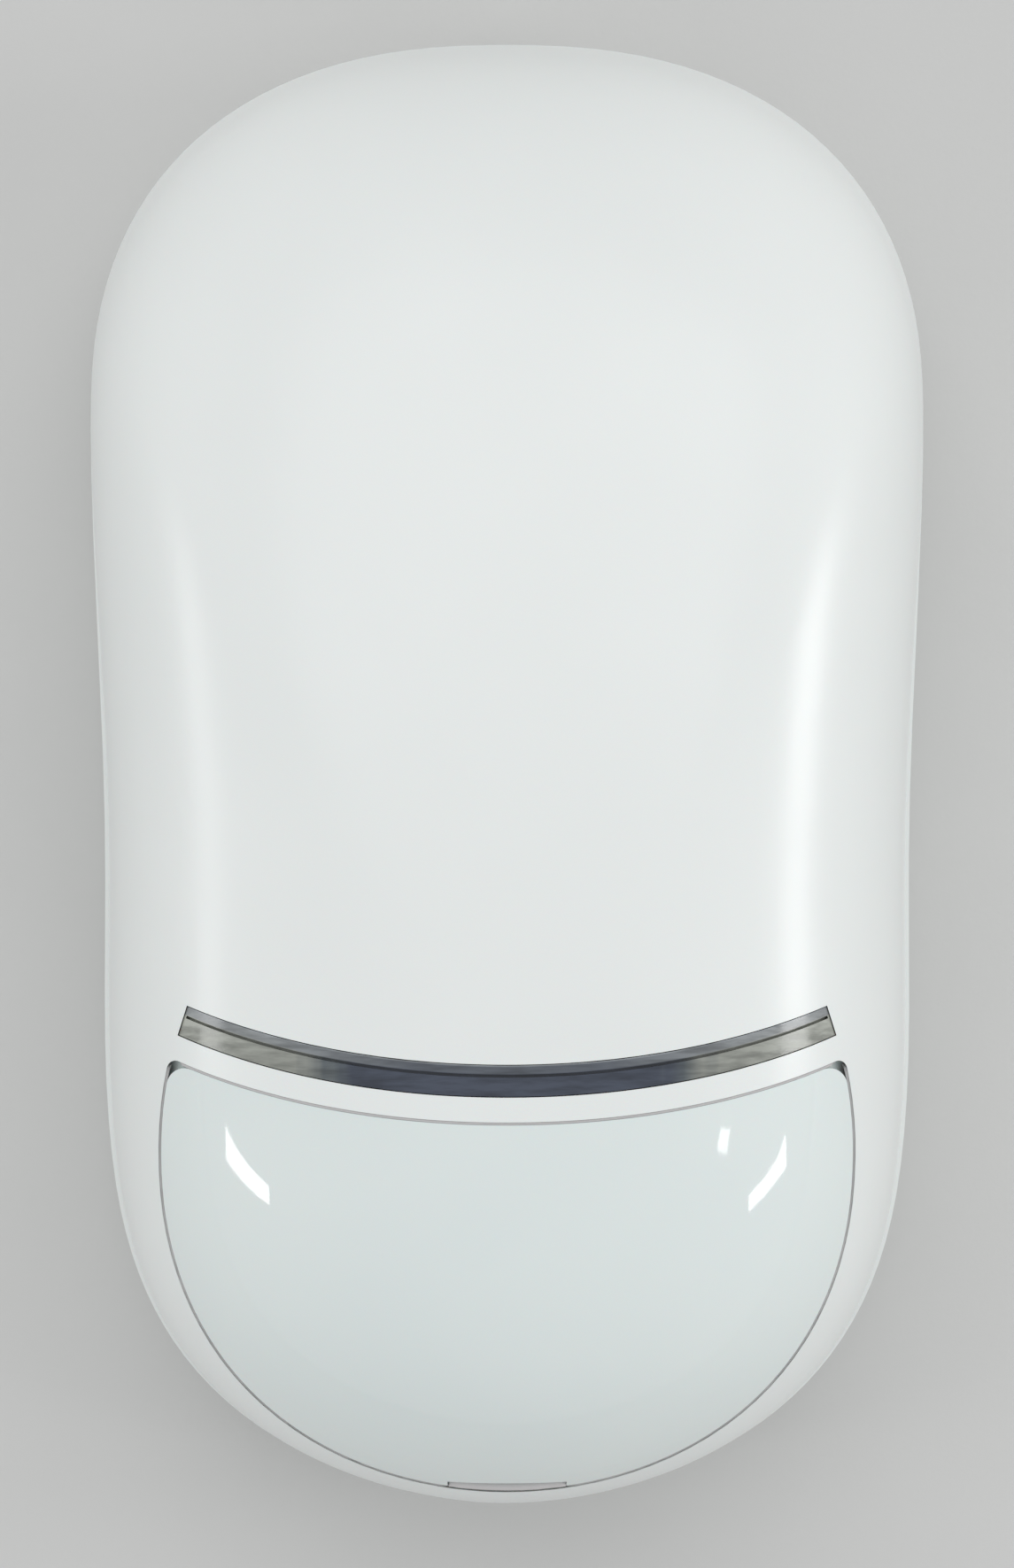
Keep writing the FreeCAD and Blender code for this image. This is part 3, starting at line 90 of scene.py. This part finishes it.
class Graph:
    """A material's node tree with short calls for the nodes that are used here."""

    def __init__(self, name):
        self.material = bpy.data.materials.new(name)
        self.material.use_nodes = True
        self.nodes = self.material.node_tree.nodes
        self.links = self.material.node_tree.links
        self.shader = self.nodes["Principled BSDF"]
        self.place = self.add("ShaderNodeTexCoord").outputs["Object"]

    def add(self, kind, **settings):
        node = self.nodes.new(kind)
        for key, value in settings.items():
            setattr(node, key, value)
        return node

    def set(self, **values):
        """Sets the shader's own sockets. An underscore in a name stands for a space."""
        for key, value in values.items():
            self.shader.inputs[key.replace("_", " ")].default_value = value

    def link(self, source, target):
        self.links.new(source, target)

    def axes(self):
        """Object coordinates as separate outputs X, Y and Z."""
        split = self.add("ShaderNodeSeparateXYZ")
        self.link(self.place, split.inputs["Vector"])
        return split.outputs

    def stretched(self, scale):
        """Object coordinates scaled separately along X, Y and Z."""
        mapping = self.add("ShaderNodeMapping")
        mapping.inputs["Scale"].default_value = scale
        self.link(self.place, mapping.inputs["Vector"])
        return mapping.outputs["Vector"]

    def noise(self, scale, detail=2.0, rough=0.5, at=None):
        node = self.add("ShaderNodeTexNoise")
        node.inputs["Scale"].default_value = scale
        node.inputs["Detail"].default_value = detail
        node.inputs["Roughness"].default_value = rough
        self.link(at or self.place, node.inputs["Vector"])
        return node.outputs["Fac"]

    def ramp(self, value, stops):
        """Colours along a value. Each stop is a position and a colour."""
        node = self.add("ShaderNodeValToRGB")
        elements = node.color_ramp.elements
        while len(elements) < len(stops):
            elements.new(0.5)
        for element, (position, colour) in zip(elements, stops):
            element.position = position
            element.color = (*colour, 1.0)
        self.link(value, node.inputs["Fac"])
        return node.outputs["Color"]

    def spread(self, value, low, high, start=0.3, end=0.7):
        """Maps the values from start to end to the range from low to high."""
        node = self.add("ShaderNodeMapRange")
        for key, number in (("From Min", start), ("From Max", end), ("To Min", low), ("To Max", high)):
            node.inputs[key].default_value = number
        self.link(value, node.inputs["Value"])
        return node.outputs["Result"]

    def maths(self, operation, first, second=None):
        node = self.add("ShaderNodeMath", operation=operation)
        for socket, value in zip(node.inputs, (first, second)):
            if value is None:
                continue
            if isinstance(value, (int, float)):
                socket.default_value = value
            else:
                self.link(value, socket)
        return node.outputs["Value"]

    def bump(self, height, distance, strength):
        node = self.add("ShaderNodeBump")
        node.inputs["Distance"].default_value = distance
        node.inputs["Strength"].default_value = strength
        self.link(height, node.inputs["Height"])
        self.link(node.outputs["Normal"], self.shader.inputs["Normal"])

    def blend(self, share, first, second, kind="MIX"):
        """Mixes two colours by a share, or fully where there is none."""
        node = self.add("ShaderNodeMix", data_type="RGBA", blend_type=kind)
        node.inputs["Factor"].default_value = 1.0
        for name, sort, value in (("Factor", "VALUE", share), ("A", "RGBA", first), ("B", "RGBA", second)):
            socket = next(s for s in node.inputs if s.name == name and s.type == sort)
            if isinstance(value, tuple):
                socket.default_value = value
            elif value is not None:
                self.link(value, socket)
        return next(s for s in node.outputs if s.type == "RGBA")

    def colour(self, output):
        self.link(output, self.shader.inputs["Base Color"])

    def roughness(self, output):
        self.link(output, self.shader.inputs["Roughness"])


def shade(colour, factor):
    return tuple(min(1.0, channel * factor) for channel in colour)


def plastic(name, colour, roughness, grain, depth, variation, spread=0.06):
    """Moulded plastic: faint colour drift, fine texture, and patches that are a little more polished."""
    g = Graph(name)
    drift = g.noise(1 / (28 * MM), 3.0)
    g.colour(g.ramp(drift, [(0.3, shade(colour, 1 - variation)), (0.7, shade(colour, 1 + variation))]))
    handling = g.noise(1 / (9 * MM), 4.0, 0.6)
    g.roughness(g.spread(handling, roughness - spread, roughness + spread))
    g.bump(g.noise(1 / grain, 2.0), depth, 0.6)
    return g


def metal(name, colour, roughness, brushed=(1, 1, 1), depth=0.004 * MM):
    """Metal with fine marks drawn out along one direction and slightly uneven tarnish."""
    g = Graph(name)
    g.set(Metallic=1.0)
    tarnish = g.noise(1 / (3 * MM), 3.0)
    g.colour(g.ramp(tarnish, [(0.3, shade(colour, 0.86)), (0.7, colour)]))
    marks = g.noise(1 / (0.12 * MM), 2.0, at=g.stretched(brushed))
    g.roughness(g.spread(marks, roughness - 0.07, roughness + 0.09))
    g.bump(marks, depth, 0.5)
    return g


def cover_plastic():
    """Satin white cover: fine spark-eroded texture and a barely visible drift in its white."""
    g = plastic("cover_plastic", (0.80, 0.825, 0.812), 0.30, 0.16 * MM, 0.005 * MM, 0.012, 0.01)
    g.set(Subsurface_Weight=0.04, Subsurface_Scale=0.0015)
    return g


def lens_plastic():
    """Glossy, slightly milky window with the faint unevenness of a thin moulding."""
    g = Graph("lens_plastic")
    g.set(IOR=1.5, Subsurface_Weight=0.06, Subsurface_Scale=0.0015)
    drift = g.noise(1 / (20 * MM), 2.0)
    g.colour(g.ramp(drift, [(0.3, (0.725, 0.785, 0.775)), (0.7, (0.75, 0.805, 0.79))]))
    g.roughness(g.spread(g.noise(1 / (7 * MM), 3.0), 0.03, 0.07))
    g.bump(g.noise(1 / (14 * MM), 1.0), 0.05 * MM, 0.5)
    return g


def smoked_plastic():
    """Smoke-tinted strip: navy over its opening, as painted shade of the dark inside showing through,
    and olive over the pocket's floor at its ends.

    Its top facet is painted paler, a painted reflection, with a painted highlight line along its top edge;
    streaked painted reflections lighten and darken its colour all over.
    """
    navy, blue, olive = (0.046, 0.056, 0.080), (0.085, 0.100, 0.110), (0.29, 0.30, 0.27)
    facet_reflection_middle, facet_reflection_end = (0.085, 0.096, 0.115), (0.25, 0.265, 0.27)
    edge_highlight_grey = (0.30, 0.32, 0.34, 1.0)
    tint_and_shade_reach, tint_and_shade_waviness = 30 * MM, 1.5 * MM
    pale_from, pale_to = 8 * MM, 22 * MM
    g = Graph("smoked_plastic")
    g.set(IOR=1.5)
    axes = g.axes()
    across = g.maths("ABSOLUTE", axes["X"])
    up = g.maths("SUBTRACT", axes["Y"], ARC_CENTRE_Y)
    squares = g.maths("ADD", g.maths("MULTIPLY", across, across), g.maths("MULTIPLY", up, up))
    from_centre = g.maths("SQRT", squares)
    down = g.maths("DIVIDE", g.maths("SUBTRACT", from_centre, STRIP_RADIUS), STRIP_HEIGHT)
    patches = g.noise(1.0, 2.0, at=g.stretched((520, 40, 40)))
    waviness = g.spread(patches, -tint_and_shade_waviness, tint_and_shade_waviness, 0.25, 0.75)
    reach = g.maths("DIVIDE", g.maths("ADD", across, waviness), tint_and_shade_reach)
    # Navy is painted shade: the dark inside of the opening, seen through the strip. Olive is the pocket's
    # floor.
    tint_and_shade_stops = [(0.0, navy), (0.44, navy), (0.50, blue)]
    tint_and_shade_stops += [(0.60, shade(olive, 0.82)), (0.78, olive), (1.0, shade(olive, 1.3))]
    tint_and_shade = g.ramp(reach, tint_and_shade_stops)
    # The top facet's paler colour is a painted reflection, paler towards the ends.
    towards_end = g.spread(across, 0.0, 1.0, pale_from, pale_to)
    facet = g.ramp(towards_end, [(0.0, facet_reflection_middle), (1.0, facet_reflection_end)])
    on_facet = g.ramp(down, [(0.27, WHITE), (0.31, BLACK)])
    base = g.blend(on_facet, tint_and_shade, facet)
    # A painted highlight along the top edge.
    edge_highlight_line = g.ramp(down, [(0.03, WHITE), (0.08, BLACK)])
    base = g.blend(edge_highlight_line, base, edge_highlight_grey)
    # The same noise gives real roughness and bump, and painted reflection streaks in the colour.
    texture_and_reflection_streaks = g.noise(1.0, 3.0, 0.6, at=g.stretched((200, 1500, 400)))
    painted_reflection_streaks = g.ramp(texture_and_reflection_streaks, [(0.32, (0.72, 0.72, 0.72)), (0.62, (1.22, 1.22, 1.22))])
    g.colour(g.blend(None, base, painted_reflection_streaks, "MULTIPLY"))
    g.roughness(g.spread(texture_and_reflection_streaks, 0.12, 0.26))
    g.bump(texture_and_reflection_streaks, 0.010 * MM, 0.6)
    return g


def board_mask(name, colour, track_colour, track_scale):
    """Circuit board: solder mask with raised copper tracks under it."""
    g = Graph(name)
    tracks = g.add("ShaderNodeTexBrick")
    tracks.inputs["Scale"].default_value = track_scale
    tracks.inputs["Mortar Size"].default_value = 0.035
    tracks.inputs["Brick Width"].default_value = 1.7
    tracks.inputs["Row Height"].default_value = 0.6
    g.link(g.place, tracks.inputs["Vector"])
    pour = g.noise(1 / (7 * MM), 1.0)
    mask = g.maths("MULTIPLY", tracks.outputs["Fac"], g.spread(pour, 0.0, 1.0, 0.45, 0.55))
    g.colour(g.ramp(mask, [(0.0, colour), (1.0, track_colour)]))
    g.roughness(g.spread(g.noise(1 / (1.2 * MM)), 0.26, 0.40))
    g.bump(mask, 0.03 * MM, 0.5)
    return g


def battery_sleeve():
    """Blue shrink sleeve with fine wrinkles, a black band near one end and bare metal at both ends."""
    blue, silver, black = (0.035, 0.06, 0.22), (0.45, 0.46, 0.48), (0.02, 0.02, 0.025)
    bands = [(0.0, silver), (0.05, silver), (0.06, black), (0.16, black)]
    bands += [(0.17, blue), (0.93, blue), (0.94, silver)]
    g = Graph("battery_sleeve")
    along = g.spread(g.axes()["X"], 0.0, 1.0, -15 * MM, 18 * MM)
    g.colour(g.ramp(along, bands))
    g.roughness(g.spread(g.noise(1 / (4 * MM), 3.0), 0.16, 0.30))
    g.bump(g.noise(1.0, 2.0, at=g.stretched((900, 240, 240))), 0.03 * MM, 0.5)
    return g


def clear_epoxy():
    g = Graph("clear_epoxy")
    g.set(IOR=1.5, Subsurface_Weight=0.2, Subsurface_Scale=0.001)
    g.colour(g.ramp(g.noise(1 / (0.8 * MM)), [(0.3, (0.66, 0.70, 0.62)), (0.7, (0.80, 0.83, 0.76))]))
    g.roughness(g.spread(g.noise(1 / (1.0 * MM)), 0.08, 0.18))
    return g


def dark_filter():
    g = Graph("dark_filter")
    g.colour(g.ramp(g.noise(1 / (1.5 * MM)), [(0.3, (0.02, 0.018, 0.03)), (0.7, (0.05, 0.04, 0.07))]))
    g.roughness(g.spread(g.noise(1 / (2 * MM)), 0.04, 0.10))
    return g


def foam():
    g = Graph("black_foam")
    cells = g.add("ShaderNodeTexVoronoi")
    cells.inputs["Scale"].default_value = 1 / (0.3 * MM)
    g.link(g.place, cells.inputs["Vector"])
    g.colour(g.ramp(cells.outputs["Distance"], [(0.0, shade(WHITE, 0.012)), (0.8, shade(WHITE, 0.05))]))
    g.set(Roughness=0.95)
    g.bump(cells.outputs["Distance"], 0.08 * MM, 0.8)
    return g


# Colour, roughness, size of the grain, its depth, and variation of the colour
PLASTICS = {
    "black_plastic": ((0.022, 0.022, 0.024), 0.52, 0.2 * MM, 0.012 * MM, 0.1),
    "white_nylon": ((0.74, 0.72, 0.64), 0.42, 0.3 * MM, 0.01 * MM, 0.03),
    "blue_plastic": ((0.03, 0.10, 0.36), 0.35, 0.2 * MM, 0.008 * MM, 0.06),
    # The bead's pale colour is a painted highlight along the parting, laid over the gap's shade.
    "pale_highlight_bead": ((0.56, 0.545, 0.545), 0.6, 0.3 * MM, 0.01 * MM, 0.05),
    "chip_plastic": ((0.018, 0.018, 0.02), 0.48, 0.12 * MM, 0.006 * MM, 0.1),
}

# Colour, roughness, and how the marks are squeezed along X, Y and Z, and their depth, where they differ
METALS = {
    "zinc_steel": ((0.60, 0.59, 0.55), 0.30),
    "nickel": ((0.66, 0.62, 0.54), 0.24, (1, 4, 1)),
    "tinned_steel": ((0.70, 0.71, 0.71), 0.27, (6, 1, 1)),
    "copper": ((0.80, 0.44, 0.24), 0.28, (1, 1, 5)),
    "gold_pins": ((0.86, 0.66, 0.28), 0.22),
    "mirror_finish": ((0.86, 0.86, 0.88), 0.10, (1, 1, 1), 0.002 * MM),
    "spring_steel": ((0.52, 0.52, 0.54), 0.26, (1, 1, 8)),
    "can_aluminium": ((0.74, 0.74, 0.75), 0.30, (1, 1, 5)),
    "solder": ((0.62, 0.62, 0.64), 0.34),
}

GRAPHS = {
    "cover_plastic": cover_plastic(),
    "lens_plastic": lens_plastic(),
    "smoked_plastic": smoked_plastic(),
    "circuit_board": board_mask("circuit_board", (0.012, 0.10, 0.035), (0.03, 0.20, 0.075), 1 / (2.2 * MM)),
    "radar_board": board_mask("radar_board", (0.56, 0.55, 0.50), (0.62, 0.60, 0.54), 1 / (6 * MM)),
    "battery_sleeve": battery_sleeve(),
    "light_lens": clear_epoxy(),
    "dark_filter": dark_filter(),
    "black_foam": foam(),
    **{name: plastic(name, *look) for name, look in PLASTICS.items()},
    **{name: metal(name, *look) for name, look in METALS.items()},
}
MATERIALS = {slot: graph.material for slot, graph in GRAPHS.items()}


def dress_nodes():
    """Gives each carried-over node the material of its slot in the record."""
    for row in frame["record"]["subparts"]:
        node = nodes[row["node"]]
        node.data.materials.clear()
        node.data.materials.append(MATERIALS[row["material_slot"]])


# Pieces


class Mesh:
    """Collects vertices and faces for one piece."""

    def __init__(self):
        self.points = []
        self.faces = []

    def cap(self, first, sides, downwards=False):
        """One face over a ring of vertices, which is given by its first vertex."""
        ring = range(first, first + sides)
        self.faces.append(tuple(reversed(ring) if downwards else ring))

    def wall(self, low, high, sides):
        """Faces between two rings of vertices, each given by its first vertex."""
        for side in range(sides):
            after = (side + 1) % sides
            self.faces.append((low + side, low + after, high + after, high + side))

    def box(self, low, high, taper):
        """A box whose top is a little smaller than its foot."""
        start = len(self.points)
        (x0, y0, z0), (x1, y1, z1) = low, high
        for inset, z in ((0.0, z0), (0.0, z1 - taper), (taper, z1)):
            left, right, front, back = x0 + inset, x1 - inset, y0 + inset, y1 - inset
            for x, y in ((left, front), (right, front), (right, back), (left, back)):
                self.points.append((x, y, z))
        self.cap(start, 4, downwards=True)
        self.cap(start + 8, 4)
        self.wall(start, start + 4, 4)
        self.wall(start + 4, start + 8, 4)

    def turned(self, centre, profile, sides):
        """A closed form turned about an upright axis. The profile goes from the foot to the top."""
        start = len(self.points)
        for radius, height in profile:
            for side in range(sides):
                angle = 2 * math.pi * side / sides
                x = centre[0] + radius * math.cos(angle)
                y = centre[1] + radius * math.sin(angle)
                self.points.append((x, y, centre[2] + height))
        top = start + (len(profile) - 1) * sides
        for ring in range(start, top, sides):
            self.wall(ring, ring + sides, sides)
        self.cap(start, sides, downwards=True)
        self.cap(top, sides)

    def tube(self, path, radius, sides, closed=False):
        """A round tube along a list of points."""
        start = len(self.points)
        count = len(path)
        for index, point in enumerate(path):
            before = path[index - 1] if closed or index else point
            after = path[(index + 1) % count] if closed or index < count - 1 else point
            along = (after - before).normalized()
            side_way = along.cross(UPRIGHT).normalized()
            up = side_way.cross(along)
            for side in range(sides):
                angle = 2 * math.pi * side / sides
                self.points.append(point + radius * (math.cos(angle) * side_way + math.sin(angle) * up))
        for ring in range(count if closed else count - 1):
            self.wall(start + ring * sides, start + (ring + 1) % count * sides, sides)
        if not closed:
            self.cap(start, sides, downwards=True)
            self.cap(start + (count - 1) * sides, sides)

    def piece(self, name, material, slot, smooth=False):
        mesh = bpy.data.meshes.new(name)
        mesh.from_pydata(self.points, [], self.faces)
        mesh.validate()
        mesh.materials.append(MATERIALS[material])
        for face in mesh.polygons:
            face.use_smooth = smooth
        thing = bpy.data.objects.new(name, mesh)
        bpy.context.collection.objects.link(thing)
        return thing


def tamper_coil():
    """The tamper switch's spring as a real coil: close end turns and open ones between them."""
    wire = 0.225 * MM
    radius = 2.345 * MM
    foot, top = 17.1 * MM, 21.1 * MM
    turns = 5.5
    end_share = 0.13
    steps = 200
    end_rise = 2 * wire * turns * end_share
    middle_rise = top - foot - 2 * wire - 2 * end_rise
    path = []
    for step in range(steps + 1):
        share = step / steps
        angle = 2 * math.pi * turns * share
        in_ends = (min(share, end_share) + max(0.0, share - 1 + end_share)) / end_share
        in_middle = min(1.0, max(0.0, (share - end_share) / (1 - 2 * end_share)))
        x = TAMPER_PLACE[0] + radius * math.cos(angle)
        y = TAMPER_PLACE[1] + radius * math.sin(angle)
        path.append(Vector((x, y, foot + wire + end_rise * in_ends + middle_rise * in_middle)))
    coil = Mesh()
    coil.tube(path, wire, 10)
    spring = coil.piece("tamper_coil", "spring_steel", "spring_steel", smooth=True)
    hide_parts("tamper_spring")
    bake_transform(spring)


def gap_point(angle):
    """Point of the middle of the gap round the lens's rounded side, seen from the front."""
    c, s = math.cos(angle), math.sin(angle)
    x = (LENS_HALF_WIDTH - LENS_GAP / 2) * math.copysign(abs(c) ** (2 / LENS_SQUARE), c)
    y = (LENS_HALF_HEIGHT - LENS_GAP / 2) * math.copysign(abs(s) ** (2 / LENS_SQUARE), s)
    return Vector((x, y - LENS_DROP))


def parting_path():
    """The middle of the gap round the lens, seen from the front, as a closed list of points."""
    halvings = 40
    side_steps, arc_steps = 220, 120
    corner_cut = 0.03
    corner_trim = 0.9 * MM
    arc_radius = STRIP_RADIUS + STRIP_HEIGHT + LAND_HEIGHT + LENS_GAP / 2
    centre = Vector((0, ARC_CENTRE_Y))
    low, high = 0.0, math.pi / 2
    for _ in range(halvings):
        middle = (low + high) / 2
        if (gap_point(middle) - centre).length > arc_radius:
            low = middle
        else:
            high = middle
    right = gap_point(low)
    left = Vector((-right.x, right.y))
    first, last = low - corner_cut, -math.pi - low + corner_cut
    side = [gap_point(first + (last - first) * step / side_steps) for step in range(side_steps + 1)]
    lean = math.atan2(right.x, ARC_CENTRE_Y - right.y) - corner_trim / arc_radius
    arc = []
    for step in range(arc_steps + 1):
        angle = lean * (2 * step / arc_steps - 1)
        arc.append(centre + arc_radius * Vector((math.sin(angle), -math.cos(angle))))
    return side + rounded(side[-1], left, arc[0]) + arc + rounded(arc[-1], right, side[0])


def rounded(start, corner, end):
    """Points of a curved corner, without its two ends."""
    shares = (0.2, 0.4, 0.6, 0.8)
    return [start * (1 - t) ** 2 + corner * 2 * t * (1 - t) + end * t ** 2 for t in shares]


def under_lens(flat, inward, sink):
    """The point at a place in the front view, sunk below the lens face, which is read a little further in."""
    above = 0.2
    start = Vector((flat.x + inward.x, flat.y + inward.y, above))
    _, place, normal, _ = nodes["lens_window"].ray_cast(start, -UPRIGHT)
    drop = -(normal.x * inward.x + normal.y * inward.y) / normal.z
    return Vector((flat.x, flat.y, place.z - drop - sink / normal.z))


def parting_bead():
    """Thin pale bead in the gap between the cover and the lens, with a small ledge at its bottom.

    Its pale colour is a painted highlight: it stands in for the light that the opening's edge catches, over
    the gap's shade.
    """
    bead_radius, bead_sink, bead_inward = 0.15 * MM, 0.17 * MM, 0.7 * MM
    ledge_radius, ledge_sink, ledge_inward = 0.40 * MM, 0.45 * MM, 1.1 * MM
    ledge_width, ledge_steps, ledge_rise = 10.3 * MM, 24, 0.62 * MM
    lens_middle = Vector((0, -LENS_DROP - 12 * MM))
    path = []
    for flat in parting_path():
        inward = (lens_middle - flat).normalized() * bead_inward
        path.append(under_lens(flat, inward, bead_sink))
    ledge = []
    for step in range(ledge_steps + 1):
        x = (step / ledge_steps - 0.5) * ledge_width
        depth = (1 - (abs(x) / LENS_HALF_WIDTH) ** LENS_SQUARE) ** (1 / LENS_SQUARE)
        y = -LENS_DROP - LENS_HALF_HEIGHT * depth + ledge_rise
        ledge.append(under_lens(Vector((x, y)), Vector((0, ledge_inward)), ledge_sink))
    bead = Mesh()
    bead.tube(path, bead_radius, 8, closed=True)
    bead.tube(ledge, ledge_radius, 12)
    thing = bead.piece("parting_bead", "pale_highlight_bead", "white_nylon", smooth=True)
    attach(thing, "cover")


# Rows of small parts on the main board: X and Y of the first part in mm, how many there are, and
# whether they stand in one column. The others stand in two staggered columns.
SMALL_PART_ROWS = (
    (-16.0, -12.0, 6, False), (-16.0, -16.5, 6, False), (-16.0, -21.0, 5, True), (13.5, -12.5, 6, False),
    (13.5, -18.0, 5, True), (-10.0, 18.0, 7, False), (4.0, 16.5, 6, True), (-12.0, 3.0, 5, True),
    (6.0, 2.0, 6, False), (-26.5, 19.5, 5, True), (24.5, -16.5, 4, False), (24.5, -22.5, 4, True),
    (-27.0, -24.5, 4, True),
)
COLUMN_PITCH = 1.9 * MM
STAGGERED_PITCH = 0.8 * COLUMN_PITCH
COLUMN_SHIFT = 2.6 * MM

# Radius and height of a small part's solder and of a bigger joint, from the foot to the top
SMALL_SOLDER = ((0.42 * MM, 0), (0.34 * MM, 0.06 * MM), (0.12 * MM, 0.16 * MM))
BIG_SOLDER = ((0.7 * MM, 0), (0.5 * MM, 0.2 * MM), (0.2 * MM, 0.7 * MM))
BIG_SOLDER_COUNT, BIG_SOLDER_PITCH = 6, 3.2 * MM
BIG_SOLDER_PLACE = (-8 * MM, -24.6 * MM)

# Left ends of the rows of legs. Only the first pair of rows lies along a chip.
LEG_ROWS = (-12.6 * MM, 1.8 * MM, 15.08 * MM)
LEG_COUNT, LEG_PITCH = 9, 0.9 * MM
# A leg's shoulder, foot and knee: from and to, in mm, outwards from the chip and up from the board
LEG_BOXES = ((-0.1, 0.45, 0.5, 0.66), (0.35, 0.95, 0.0, 0.14), (0.33, 0.5, 0.05, 0.6))


def small_part(bodies, metal_ends, joints, x, y, tall):
    """A surface-mounted part: its body, its two metal ends and their solder."""
    half_x, half_y = 0.8 * MM, 0.4 * MM
    body_x, end_x, solder_x = 0.7 * half_x, 0.68 * half_x, 1.12 * half_x
    grow = 0.02 * MM
    top = BOARD_TOP + tall
    bodies.box((x - body_x, y - half_y, BOARD_TOP), (x + body_x, y + half_y, top), 0.04 * MM)
    front, back = y - half_y - grow, y + half_y + grow
    for side in (-1, 1):
        left, right = sorted((x + side * end_x, x + side * half_x))
        metal_ends.box((left, front, BOARD_TOP), (right, back, top + grow), 0.05 * MM)
        joints.turned((x + side * solder_x, y, BOARD_TOP), SMALL_SOLDER, 10)


def chip_leg(metal_ends, x, chip_edge, side):
    """One bent leg that leaves a chip's front or back edge."""
    half_width = 0.15 * MM
    for near, far, low, high in LEG_BOXES:
        front, back = sorted((chip_edge + side * near * MM, chip_edge + side * far * MM))
        foot = (x - half_width, front, BOARD_TOP + low * MM)
        metal_ends.box(foot, (x + half_width, back, BOARD_TOP + high * MM), 0.03 * MM)


def board_parts():
    """Small parts on the main board that a plain solid leaves out."""
    bodies, metal_ends, joints = Mesh(), Mesh(), Mesh()
    for row_x, row_y, count, one_column in SMALL_PART_ROWS:
        for number in range(count):
            x = row_x * MM + (0 if one_column else COLUMN_SHIFT * (number % 2))
            y = row_y * MM + number * (COLUMN_PITCH if one_column else STAGGERED_PITCH)
            tall = (0.35 + 0.12 * (number % 3)) * MM
            small_part(bodies, metal_ends, joints, x, y, tall)
    low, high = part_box("chips")
    for left in LEG_ROWS:
        for side, chip_edge in ((-1, low.y), (1, high.y)):
            for leg in range(LEG_COUNT):
                chip_leg(metal_ends, left + LEG_PITCH * (leg + 1), chip_edge, side)
    for number in range(BIG_SOLDER_COUNT):
        x = BIG_SOLDER_PLACE[0] + number * BIG_SOLDER_PITCH
        joints.turned((x, BIG_SOLDER_PLACE[1], BOARD_TOP), BIG_SOLDER, 14)
    for mesh, name, material, slot in (
        (bodies, "board_small_bodies", "chip_plastic", "chip_plastic"),
        (metal_ends, "board_small_metal", "tinned_steel", "tinned_steel"),
        (joints, "board_solder", "solder", "tinned_steel"),
    ):
        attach(mesh.piece(name, material, slot), "base")


# Camera, floor and light


def add_camera():
    camera = bpy.data.cameras.new("photo_camera")
    camera.sensor_fit = "VERTICAL"
    camera.sensor_height = SENSOR
    camera.lens = FOCAL_PIXELS * SENSOR / PHOTO_HEIGHT
    camera.clip_start = CLIP_START
    camera.clip_end = CLIP_END
    rig = bpy.data.objects.new("photo_camera", camera)
    rig.location = (0, CAMERA_SHIFT_Y, CAMERA_HEIGHT)
    bpy.context.collection.objects.link(rig)
    bpy.context.scene.camera = rig


def add_floor():
    mesh = bpy.data.meshes.new("floor")
    signs = ((-1, -1), (1, -1), (1, 1), (-1, 1))
    corners = [(x * FLOOR_HALF, y * FLOOR_HALF, FLOOR_LEVEL) for x, y in signs]
    mesh.from_pydata(corners, [], [(0, 1, 2, 3)])
    paper = plastic("floor_paper", (0.60, 0.60, 0.59), 0.85, 0.6 * MM, 0.02 * MM, 0.01)
    mesh.materials.append(paper.material)
    floor = bpy.data.objects.new("floor", mesh)
    bpy.context.collection.objects.link(floor)


# Name, place, point that it is aimed at, width, height, power in watts, and turn about its own axis in
# degrees. The three panels give the highlights on the lens.
MIDDLE = (0, -0.01, 0.03)
LENS_LEFT = (-22.4 * MM, -34.7 * MM, 44.7 * MM)
LENS_RIGHT = (22.5 * MM, -35.4 * MM, 44.6 * MM)
LENS_SPOT = (18.5 * MM, -31.7 * MM, 46.8 * MM)
LAMPS = (
    ("overhead", (0.05, 0.70, 1.15), MIDDLE, 1.4, 1.0, 4.5, 0),
    ("right_window", (0.94, 0.045, 0.21), MIDDLE, 0.20, 0.24, 1.25, 0),
    ("left_window", (-0.94, 0.035, 0.12), MIDDLE, 0.22, 0.20, 0.55, 0),
    ("left_panel", (-0.7543, -0.1935, 0.326), LENS_LEFT, 0.055, 0.30, 0.45, -24),
    ("right_panel", (0.7545, -0.2088, 0.3167), LENS_RIGHT, 0.055, 0.26, 0.42, 30),
    ("small_panel", (0.5921, -0.1116, 0.5987), LENS_SPOT, 0.04, 0.07, 0.07, 0),
)
WORLD_COLOUR = (0.98, 0.99, 1.0, 1.0)
WORLD_STRENGTH = 0.70


def add_lamp(name, place, aim, width, height, power, turn):
    lamp = bpy.data.lights.new(name, "AREA")
    lamp.shape = "RECTANGLE"
    lamp.size = width
    lamp.size_y = height
    lamp.energy = power
    rig = bpy.data.objects.new(name, lamp)
    away = Vector(place) - Vector(aim)
    rig.matrix_world = Matrix.Translation(place) @ away.to_track_quat("Z", "Y").to_matrix().to_4x4()
    rig.matrix_world = rig.matrix_world @ Matrix.Rotation(math.radians(turn), 4, "Z")
    bpy.context.collection.objects.link(rig)


def add_light():
    world = bpy.data.worlds.new("studio")
    bpy.context.scene.world = world
    world.use_nodes = True
    background = world.node_tree.nodes["Background"]
    background.inputs["Color"].default_value = WORLD_COLOUR
    background.inputs["Strength"].default_value = WORLD_STRENGTH
    for row in LAMPS:
        add_lamp(*row)
    bpy.context.scene.view_settings.view_transform = "Standard"


dress_nodes()
tamper_coil()
parting_bead()
board_parts()
add_camera()
add_floor()
add_light()
